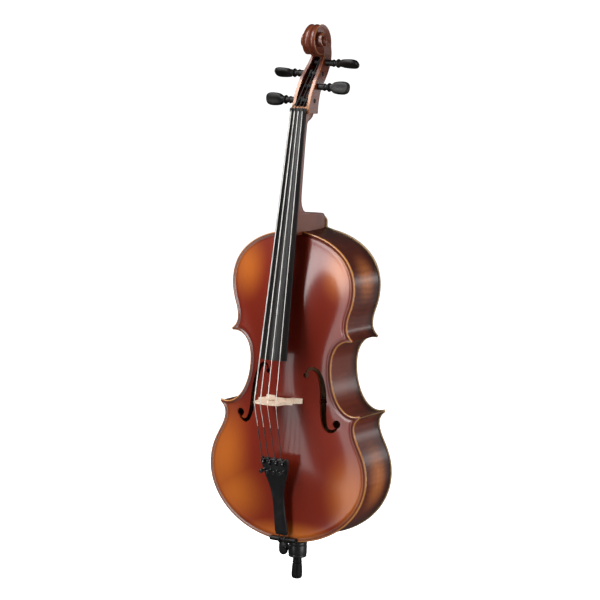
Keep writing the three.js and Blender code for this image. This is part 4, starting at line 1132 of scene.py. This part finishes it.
def slab(profile, low, high, axis):
    """A flat outline made solid between two places along an axis."""
    profile = np.array(profile, float)
    rings = []
    for place in (low, high):
        columns = [profile[:, 0], profile[:, 1]]
        columns.insert("XYZ".index(axis), np.full(len(profile), float(place)))
        rings.append(np.column_stack(columns))
    return loft(rings)


def make_nut():
    half = 18.4
    top = []
    grooves = [(x, radius) for x, _, _, radius in STRINGS.values()]
    for x in np.linspace(half, -half, 75):
        y = string_nut_y(x) + 1.3
        for place, radius in grooves:
            reach = radius + 0.25
            if abs(x - place) < reach:
                y += math.sqrt(reach ** 2 - (x - place) ** 2) * 0.9
        top.append((x, y))
    section = top + [(-half, -53), (half, -53)]
    rings = []
    for z, lower in ((NUT_Z, 0.0), (NUT_Z + 4, 0.0), (NUT_Z + 6.4, 0.5), (NUT_Z + NUT_TALL, 2.2)):
        ring = [(x, y + (lower if y < -54 else 0), z) for x, y in section]
        rings.append(np.array(ring))
    make("grooved_nut", *loft(rings), "ebony", ["nut"], "ebony", sharp=30)


def make_saddle():
    low = BODY_Z + 0.1
    profile = [(-51.8, low), (-61, low), (-63.4, low + 0.5), (-65.4, low + 2), (-66.5, low + 4.6),
               (-66.3, low + 7), (-65, low + 8.8), (-63, low + 9.5), (-51.8, low + 9.5)]
    saddle = make("rounded_saddle", *slab(profile, -30, 30, "X"), "ebony", ["saddle"], "ebony")
    bevelled(saddle, 0.8, 30)


# ---------------------------------------------------------------- bridge
def bridge_outline():
    """Front view, (x, y), anticlockwise: feet, waist, kidney openings and crown."""
    foot = 41.5
    sole = lambda x: float(belly_y(x, BRIDGE_Z)) - 0.25
    arch = spline([(0, -88.8), (8, -88.4), (14.5, -85.8), (19, -80.8), (20.4, sole(20.4))], 4)
    soles = [(x, sole(x)) for x in (24, 28, 32, 36, 40)]
    ankle = spline([(foot, sole(foot) - 0.6), (foot, sole(foot) - 4.6), (37.5, -80.6), (33, -85), (31, -91),
                    (31.3, -98), (34.6, -103.4), (38.4, -107.3), (38.4, -112.4), (33.6, -116.2),
                    (29.8, -121.5), (28.7, -130), (28.6, -139)], 4)
    crown = [(x, float(string_bridge_y(x)) + 1.2) for x in np.linspace(28.2, 0, 12)]
    right = [*map(tuple, arch), *soles, *map(tuple, ankle), *crown]
    left = [(-x, y) for x, y in right[1:-1]][::-1]
    return np.array(right + left)


BRIDGE_HALF_FOOT, BRIDGE_HALF_TIP = 5.2, 1.5  # half its thickness


def make_bridge():
    outline = bridge_outline()
    heart_half = spline([(0, -109.5), (3.2, -113), (6.4, -117), (8.2, -121.5), (6.8, -126), (3.4, -127.2),
                         (0.6, -124.8), (0, -122.8)], 4)
    heart = np.vstack([heart_half, heart_half[1:-1][::-1] * (-1, 1)])
    c, s = circle(26)
    kidneys = [np.column_stack([side * (24 + 6.6 * c), -104.5 + 4.4 * s + 1.6 * c * c]) for side in (-1, 1)]
    holes = [heart, *kidneys]
    grid = np.array([(x, y) for x in np.arange(-42, 43, 4.0) for y in np.arange(-156, -74, 4.0)])
    grid = clear_of_edges(grid, outline, 2, holes, 1.6)
    plane, tris = triangulate([outline, *holes], grid)
    height = np.clip((-76 - plane[:, 1]) / 80, 0, 1)
    thinning = BRIDGE_HALF_FOOT - BRIDGE_HALF_TIP
    front = BRIDGE_Z + BRIDGE_HALF_FOOT - thinning * height ** 1.25
    back = BRIDGE_Z - BRIDGE_HALF_FOOT + thinning * height ** 0.9
    points, faces, _, _ = thicken(plane, filled(plane, tris, outline, holes), front, back)
    bridge = make("carved_bridge", points, faces, "maple", ["bridge"], "bridge_maple", weld=False, sharp=40)
    bevelled(bridge, 0.45, 40)


# ---------------------------------------------------------------- pegs, windings, strings
PEG_PARTS = [  # x from the middle plane, broad half, thin half, depth of the thumb hollow
    (-20.5, 3.6, 3.6, 0), (-20.3, 4.4, 4.4, 0), (-19.9, 4.6, 4.6, 0), (20.5, 6.2, 6.2, 0),
    (33.6, 6.5, 6.5, 0),
    (34.2, 7.3, 7.3, 0), (35.2, 7.7, 7.7, 0), (36.4, 7.5, 7.5, 0), (37.2, 6.5, 6.5, 0), (38.2, 6.1, 6.1, 0),
    (41.5, 5.9, 5.9, 0), (43.3, 6.5, 6.5, 0), (44.3, 8.2, 8.2, 0), (45.8, 9.2, 9.2, 0), (47.4, 9, 9, 0),
    (48.8, 7.6, 7.6, 0), (50.5, 6.8, 6.6, 0), (53, 8, 6.5, 0.1), (56, 10.4, 6.4, 0.35), (60, 12, 6.4, 0.6),
    (65, 12.9, 6.5, 0.8), (71, 13.4, 6.7, 0.8), (77, 13.5, 6.9, 0.8), (82, 13.1, 6.9, 0.7),
    (86, 12.0, 6.6, 0.5), (89, 10.2, 5.9, 0.2), (91, 7.4, 4.4, 0), (92.1, 3.6, 2.4, 0), (92.4, 1.0, 0.7, 0),
]


def peg_radius(name, x):
    side = PEGS[name][0]
    return float(np.interp(x * side, [-CHEEK_X, CHEEK_X], [PEG_FAR, PEG_NEAR]))


def make_peg(name):
    side, z, y, _, turn = PEGS[name]
    dense = spline([p for p in PEG_PARTS if p[0] >= 50], 3)
    stations = [p for p in PEG_PARTS if p[0] < 50] + [tuple(p) for p in dense]
    c, s = circle(40)
    angle = math.radians(turn)
    rings = []
    for x, broad, thin, hollow in stations:
        squareness = 0.86 if x > 56 else 1.0
        u = np.sign(s) * np.abs(s) ** squareness * broad
        v = np.sign(c) * np.abs(c) ** squareness * thin
        v = v * (1 - 0.34 * hollow * np.exp(-(u / (0.62 * broad)) ** 2 * 1.6))
        yy, zz = v * math.cos(angle) - u * math.sin(angle), v * math.sin(angle) + u * math.cos(angle)
        rings.append(np.column_stack([np.full(40, x * side), y + yy, z + zz]))
    make(f"turned_peg_{name}", *loft(rings), "ebony", [f"peg_{name}"], "ebony", f"peg_{name}", sharp=40)


def coil_radius(name):
    wind_x = PEGS[name][3]
    return peg_radius(name, wind_x) + 0.35 + STRINGS[name][3]


def make_winding(name):
    _, z, y, wind_x, _ = PEGS[name]
    radius = STRINGS[name][3]
    turns = 5.6 / (2.1 * radius)
    t = np.linspace(0, 1, int(turns * 24))
    angle = t * turns * TURN
    reach = coil_radius(name)
    path = np.column_stack([wind_x - 2.9 + radius + t * (5.8 - 2 * radius), y + reach * np.cos(angle),
                            z + reach * np.sin(angle)])
    make(f"coiled_string_{name}", *tube(path, radius, 10), "silk", [f"string_winding_{name}"], "string_steel",
         f"peg_{name}", sharp=60)


def from_tail(x, y, z):
    c, s = math.cos(TAIL_TILT), math.sin(TAIL_TILT)
    return np.array([x, TAIL_ORIGIN[1] + y * c - z * s, TAIL_ORIGIN[2] + y * s + z * c])


def string_path(name):
    """Points along a string, from its peg to the fork of its fine tuner."""
    nut_x, bridge_x, tail_x, _ = STRINGS[name]
    _, peg_z, peg_y, wind_x, _ = PEGS[name]
    off_nut = np.array([nut_x, string_nut_y(nut_x) + 0.6, NUT_Z + NUT_TALL + 0.6])
    away = np.array([peg_y - off_nut[1], peg_z - off_nut[2]])
    reach = np.linalg.norm(away)
    coil = coil_radius(name)
    angle = math.atan2(away[1], away[0]) + math.asin(coil / reach)
    length = math.sqrt(reach ** 2 - coil ** 2)
    touch = np.array([wind_x, off_nut[1] + length * math.cos(angle), off_nut[2] + length * math.sin(angle)])
    on_nut = np.array([nut_x, string_nut_y(nut_x) - 0.1, NUT_Z + 3.5])
    on_bridge = np.array([bridge_x, string_bridge_y(bridge_x) - 0.3, BRIDGE_Z])
    end = from_tail(tail_x, -7.9, -5.4)
    anchors = [touch, off_nut, on_nut, on_bridge, end]
    path = [touch]
    for a, b in zip(anchors, anchors[1:]):
        steps = max(2, int(np.linalg.norm(b - a) / 12))
        path += [a + (b - a) * t for t in np.arange(1, steps + 1) / steps]
    path = np.array(path)
    smooth = path.copy()
    smooth[1:-1] = path[1:-1] * 0.8 + 0.1 * (path[:-2] + path[2:])
    return smooth


SILK_FROM_TOP, SILK_BELOW_BRIDGE = 972.0, 334.0


def make_string(name):
    radius = STRINGS[name][3]
    path = string_path(name)
    z = path[:, 2]
    top = path[z >= SILK_FROM_TOP - 8]
    bare = path[(z < SILK_FROM_TOP + 4) & (z > SILK_BELOW_BRIDGE - 8)]
    low = path[z <= SILK_BELOW_BRIDGE + 8]
    parts = [tube(top, radius + 0.12), tube(bare, radius), tube(low, radius + 0.12)]
    points, faces = joined(*parts)
    kinds = [1] * len(parts[0][1]) + [0] * len(parts[1][1]) + [1] * len(parts[2][1])
    piece = make(f"stretched_string_{name}", points, faces, ["string", "silk"], (), None, body=None,
                 face_looks=kinds, weld=False, sharp=60)
    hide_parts(f"string_{name}")
    away = path[-1] - path[-3]
    away /= np.linalg.norm(away)
    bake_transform(piece)


# ---------------------------------------------------------------- tailpiece and fine tuners
SCREW_DOWN = -24.0  # a tuner's screw, down from the tailpiece's top edge
TAIL_STATIONS = [  # place down from the top edge, half-width
    (-170, 11.6), (-165, 14), (-150, 14.3), (-120, 13.1), (-85, 13.6), (-60, 18), (-40, 25), (-20, 30.4),
    (-8, 31.8), (-3, 31.9), (-1, 31.2), (-0.3, 30),
]


def tail_points(points):
    """Points in the tailpiece's own tilted frame as cello points."""
    return np.array([from_tail(*p) for p in points])


def make_tailpiece():
    stations = spline(TAIL_STATIONS, 4)
    right = np.column_stack([stations[:, 1], stations[:, 0]])
    left = right[::-1] * (-1, 1)
    outline = np.vstack([right, left])
    slots = []
    for _, _, tail_x, _ in STRINGS.values():
        slots.append(np.array([(tail_x - 3.4, 4), (tail_x - 3.4, -13), (tail_x - 2.6, -14.5),
                               (tail_x + 2.6, -14.5), (tail_x + 3.4, -13), (tail_x + 3.4, 4)])[::-1])
        c, s = circle(20)
        slots.append(np.column_stack([tail_x + 1.95 * c, SCREW_DOWN + 1.95 * s]))
    grid = np.array([(x, z) for x in np.arange(-32, 33, 4.0) for z in np.arange(-168, 0, 4.0)])
    grid = clear_of_edges(grid, outline, 2.2, slots, 1.4)
    rings = [outline, inset(outline, 1.0), inset(outline, 2.0)]
    plane, tris = triangulate(rings + slots, grid)
    half = np.interp(plane[:, 1], stations[:, 0], stations[:, 1])
    crown = 2 + half / 10
    edge = distance_to(plane, outline)
    front = -crown * (1 - np.clip(plane[:, 0] / half, -1, 1) ** 2) + quarter(edge, 1.2)
    hollow = 2.2 * ease((edge - 2.5) / 6) * ease((-28 - plane[:, 1]) / 12) * ease((plane[:, 1] + 158) / 12)
    back = 5 - 0.8 * np.clip(1 - edge, 0, 1) - hollow
    points, faces, _, _ = thicken(plane, filled(plane, tris, outline, slots), front, back)
    points = tail_points(points[:, [0, 2, 1]])
    make("moulded_tailpiece", points, faces, "plastic", ["tailpiece"], "black_plastic", weld=False, sharp=40)


def threaded(place, end, pitch, ridge):
    """A thread's profile: one ridge of (radius, offset) pairs after another."""
    profile = []
    while place < end:
        profile += [(radius, place + offset) for radius, offset in ridge]
        place += pitch
    return profile


def make_tuner(name):
    tail_x = STRINGS[name][2]
    web = spline([(-4.6, -2.5), (0, -2.3), (5, -2.6), (8.6, -3.4), (10.1, -5.5), (10.2, -12), (10.1, -24),
                  (9.6, -29.4), (8.6, -29.9), (8.1, -28.5), (8.0, -20), (7.6, -13.5), (5.5, -11.2),
                  (0.5, -11.4), (-3.6, -10.2), (-4.8, -7.5)], 3)
    prong = spline([(-4.0, -5.2), (-8, -5.3), (-10.6, -5.1), (-11, -3.8), (-10.4, -2.5), (-7, -2.2),
                    (-3.8, -2.3)], 3)
    body = slab(web, -3, 3, "X")
    prongs = [slab(prong, *reach, "X") for reach in ((-3, -1.45), (1.45, 3))]
    for part in (body, *prongs):
        part[0][:, 0] += tail_x
    bodies = [(tail_points(p), f) for p, f in (body, *prongs)]
    points, faces = joined(*bodies)
    lever = make(f"tuner_bell_crank_{name}", points, faces, "tuner", [f"tuner_lever_{name}"], "tuner_metal",
                 f"tuner_lever_{name}")
    bevelled(lever, 0.35, 35, 2)

    ridges = threaded(-12.6, 6.6, 0.6, [(1.6, 0), (1.6, 0.15), (1.3, 0.35), (1.3, 0.45)])
    shank = [(0.4, -13.2), (1.1, -13.0), *ridges, (1.4, 7.2), (0.9, 7.6), (0.3, 7.6)]
    points, faces = lathe(shank, 16, "Y", (tail_x, 0, SCREW_DOWN))
    make(f"tuner_thread_{name}", tail_points(points), faces, "tuner", [f"tuner_shank_{name}"], "tuner_metal",
         f"tuner_shank_{name}", sharp=50)

    knob = rounded([(0.4, -13.3), (3.3, -13.3), (4.2, -14.1), (4.2, -19.6), (3.5, -20.4), (2.2, -20.5),
                    (1.9, -20.2), (0.4, -20.2)], 0.4)
    points, faces = lathe(knob, 72, "Y", (tail_x, 0, SCREW_DOWN), flutes=18, flute_deep=0.35,
                          fluted=(-19.4, -14.2))
    make(f"knurled_knob_{name}", tail_points(points), faces, "plastic", [f"tuner_knob_{name}"],
         "black_plastic", f"tuner_knob_{name}", sharp=50)

    ball = rounded([(0.7, -2.2), (1.6, -2.2), (2.1, -1.6), (2.1, 1.6), (1.6, 2.2), (0.7, 2.2)], 0.4)
    points, faces = lathe(ball, 24, "X", (tail_x, -7.8, -7.9))
    make(f"string_ball_{name}", tail_points(points), faces, "tuner", [f"ball_end_{name}"], "string_steel",
         f"tuner_lever_{name}", sharp=50)


def make_axle():
    half = 27.5
    end = [(0.2, half), (1.0, half), (1.25, half - 0.3)]
    profile = rounded([(r, -x) for r, x in end] + end[::-1], 0.2)
    points, faces = lathe(profile, 20, "X", (0, 1, -7))
    make("tuner_pivot_pin", tail_points(points), faces, "tuner", ["tuner_axle"], "tuner_metal")


GUT_RADIUS, COLLAR_NECK = 1.3, 14.0


def make_tailgut():
    inside_tail = [from_tail(6, 2.2, z) for z in (-163, -172)]
    leg = [*inside_tail, (6, -68.5, 98), (6.2, -68.7, 92.6), (6.6, -65.6, 88), (7.4, -58, 86.4),
           (12.5, -24, 85)]
    round_reach = COLLAR_NECK + 0.2 + GUT_RADIUS
    angles = np.linspace(0, math.pi, 13)
    loop = [(round_reach * math.cos(a), round_reach * math.sin(a), 84.5) for a in angles]
    mirror = [(-x, y, z) for x, y, z in leg][::-1]
    path = spline([tuple(p) for p in leg] + loop + mirror, 6)
    make("looped_tailgut", *tube(path, GUT_RADIUS, 14), "gut", ["tailgut"], "gut_nylon", sharp=60)


# ---------------------------------------------------------------- endpin
def make_endpin():
    socket = rounded([
        (5.3, 46.0), (15.8, 46.0), (17.6, 46.4), (19.0, 48.0), (19.0, 50.5), (18.3, 51.2), (18.3, 52.2),
        (19.4, 53.0), (19.5, 70.5), (18.6, 71.4), (18.6, 72.4), (19.4, 73.2), (19.4, 77.6), (18.2, 79.6),
        (16.0, 80.0), (14.0, 80.2), (14.0, 90.3), (12.3, 90.4), (11.7, 130.0), (5.3, 130.0)], 0.5, 2)
    points, faces = lathe(socket + [socket[0]], 64)
    faces = faces[:-2]
    collar = make("turned_endpin_socket", points, faces, "plastic", ["endpin_socket"], "black_plastic")
    combine(collar, [tool(*lathe([(3.3, -26), (3.3, -4)], 24, "X", (0, 0, CLAMP_Z)), look="plastic")])
    soften(collar.data, 35)

    rod = rounded([(0.1, 9.0), (0.7, 9.2), (5, 28), (5, 449), (4, 450), (0.1, 450)], 0.6)
    make("endpin_steel_rod", *lathe(rod, 40), "steel", ["endpin_rod"], "rod_steel", "endpin")

    tip = rounded([(0.1, 0.0), (6.4, 0.0), (9.6, 1.6), (11.2, 5.6), (11.3, 9.0), (10.9, 20.0), (10.2, 30.4),
                   (9.3, 31.6), (9.3, 33.0), (10.0, 34.0), (10.0, 36.4), (9.2, 37.6), (9.2, 44.8),
                   (8.4, 45.6), (5.3, 45.6), (5.3, 28.2), (1.0, 8.4), (0.1, 8.4)], 0.6, 2)
    points, faces = lathe(tip, 72, flutes=18, flute_deep=0.45, fluted=(9.5, 29.5))
    make("ribbed_rubber_tip", points, faces, "rubber", ["rubber_tip"], "rubber", "rubber_tip", sharp=45)

    ridges = threaded(-22.8, -7.2, 1.0, [(3.0, 0), (3.0, 0.3), (2.6, 0.6), (2.6, 0.75)])
    shank = [(0.4, -23.8), (3.0, -23.6), *ridges, (2.6, -6.4), (2.0, -5.8), (0.4, -5.8)]
    make("clamp_thread", *lathe(shank, 24, "X", (0, 0, CLAMP_Z)), "tuner", ["clamp_shank"], "tuner_metal",
         "clamp_shank", sharp=50)
    wing = spline([(-24.2, CLAMP_Z - 6), (-26.5, CLAMP_Z - 12.5), (-31, CLAMP_Z - 16.6), (-38, CLAMP_Z - 16),
                   (-42.6, CLAMP_Z - 10.5), (-43.6, CLAMP_Z), (-42.6, CLAMP_Z + 10.5), (-38, CLAMP_Z + 16),
                   (-31, CLAMP_Z + 16.6), (-26.5, CLAMP_Z + 12.5), (-24.2, CLAMP_Z + 6)], 4)
    boss = rounded([(0.4, -24.1), (6.0, -24.1), (6.6, -25.2), (6.2, -30), (4.2, -36), (0.4, -38)], 0.6)
    rings = []
    half_section = [(1.2, 1.0), (2.9, 0.99), (3.9, 0.955), (4.3, 0.9)]
    for y, scale in [(-y, scale) for y, scale in half_section[::-1]] + half_section:
        middle = np.array([-34, CLAMP_Z])
        place = middle + (wing - middle) * scale
        rings.append(np.column_stack([place[:, 0], np.full(len(place), y), place[:, 1]]))
    points, faces = joined(loft(rings), lathe(boss, 36, "X", (0, 0, CLAMP_Z)))
    make("clamp_wing_head", points, faces, "plastic", ["clamp_head"], "black_plastic", "clamp_head", sharp=40)


# ---------------------------------------------------------------- studio
VIEW_AZ, VIEW_EL, VIEW_ROLL = (math.radians(a) for a in (30.11, 7.10, 1.88))
VIEW_TARGET = Vector((-12.8, -2.0, 582.0)) * MM
VIEW_DISTANCE = 4.634
VIEW_LENS, VIEW_SENSOR = 135.6, 36.0
WORLD_SEEN, WORLD_ON_CELLO = 1.1, 0.05
FLOOR_RADIUS, FLOOR_GLOW = 6.0, 1.2
SOFTBOXES = [  # name, azimuth, elevation, distance, (width, height), power, place that it looks at
    ("front_key", -18, 0, 2.6, (0.6, 1.4), 24, (0, 0, 1.02)),
    ("front_top", -18, 26, 2.6, (1.3, 0.7), 14, (0, 0, 0.55)),
    ("low_front", -20, 0, 2.6, (0.8, 1.0), 6.5, (0, 0, -0.1)),
    ("high_front", -38, 52, 3.0, (1.6, 1.6), 84, (0, 0, 0.55)),
    ("left_fill", -100, 12, 3.0, (1.8, 2.0), 16, (0, 0, 0.55)),
    ("cheek_sheen", 150, 0, 3.0, (1.4, 0.36), 3.4, (0, 0, 0.79)),
    ("rib_sheen", 152, 0, 3.0, (2.4, 1.6), 2.5, (0, 0, 0.25)),
    ("right_fill", 86, 0, 3.2, (2.2, 2.2), 76, (0, 0, 0.45)),
]


def heading(azimuth, elevation):
    """Where a viewer stands: azimuth 0 is in front of the belly, a quarter turn is the treble side."""
    flat = math.cos(elevation)
    return Vector((math.sin(azimuth) * flat, -math.cos(azimuth) * flat, math.sin(elevation)))


def make_camera():
    camera = bpy.data.objects.new("camera", bpy.data.cameras.new("camera"))
    bpy.context.scene.collection.objects.link(camera)
    camera.data.lens = VIEW_LENS
    camera.data.sensor_width = VIEW_SENSOR
    back = heading(VIEW_AZ, VIEW_EL)
    right = Vector((math.cos(VIEW_AZ), math.sin(VIEW_AZ), 0))
    up = back.cross(right)
    x_axis = math.cos(VIEW_ROLL) * right + math.sin(VIEW_ROLL) * up
    y_axis = -math.sin(VIEW_ROLL) * right + math.cos(VIEW_ROLL) * up
    turn = Matrix((x_axis, y_axis, back)).transposed().to_4x4()
    camera.matrix_world = Matrix.Translation(VIEW_TARGET + back * VIEW_DISTANCE) @ turn
    bpy.context.scene.camera = camera


def softbox(name, azimuth, elevation, distance, size, power, target):
    """A soft rectangular light that looks at a place on the cello."""
    data = bpy.data.lights.new(name, "AREA")
    data.shape = "RECTANGLE"
    data.size, data.size_y = size
    data.energy = power
    light = bpy.data.objects.new(name, data)
    bpy.context.scene.collection.objects.link(light)
    away = heading(math.radians(azimuth), math.radians(elevation)) * distance
    light.location = Vector(target) + away
    light.rotation_euler = (Vector(target) - light.location).to_track_quat("-Z", "Y").to_euler()


def make_world():
    """White behind the cello, and dim where it only lights the cello."""
    world = bpy.data.worlds.new("studio")
    world.use_nodes = True
    tree = world.node_tree
    background = tree.nodes["Background"]
    background.inputs[0].default_value = (1, 1, 1, 1)
    path = tree.nodes.new("ShaderNodeLightPath")
    strength = tree.nodes.new("ShaderNodeMapRange")
    tree.links.new(path.outputs["Is Camera Ray"], strength.inputs["Value"])
    strength.inputs["To Min"].default_value = WORLD_ON_CELLO
    strength.inputs["To Max"].default_value = WORLD_SEEN
    tree.links.new(strength.outputs[0], background.inputs[1])
    bpy.context.scene.world = world


def make_floor():
    look = Look("pale_floor")
    tone = look.mix(look.noise(3.0, 2.0), (0.93, 0.93, 0.93), (0.96, 0.96, 0.96))
    look.set(Base_Color=tone, Roughness=0.8, Emission_Color=(1, 1, 1), Emission_Strength=FLOOR_GLOW)
    mesh = bpy.data.meshes.new("studio_floor")
    bm = bmesh.new()
    bmesh.ops.create_circle(bm, cap_ends=True, segments=96, radius=FLOOR_RADIUS)
    bm.to_mesh(mesh)
    bm.free()
    mesh.materials.append(look.material)
    floor = bpy.data.objects.new("studio_floor", mesh)
    floor.visible_glossy = floor.visible_diffuse = floor.visible_shadow = False
    bpy.context.scene.collection.objects.link(floor)


def make_studio():
    bpy.context.scene.view_settings.view_transform = "Standard"
    make_world()
    make_floor()
    for box in SOFTBOXES:
        softbox(*box)


# ---------------------------------------------------------------- assembly
make_camera()
make_plates()
make_ribs()
finish_inner_pieces()
make_neck()
make_fingerboard()
make_nut()
make_saddle()
make_bridge()
for string_name in STRINGS:
    make_peg(string_name)
    make_winding(string_name)
    make_string(string_name)
    make_tuner(string_name)
make_tailpiece()
make_axle()
make_tailgut()
make_endpin()
make_studio()
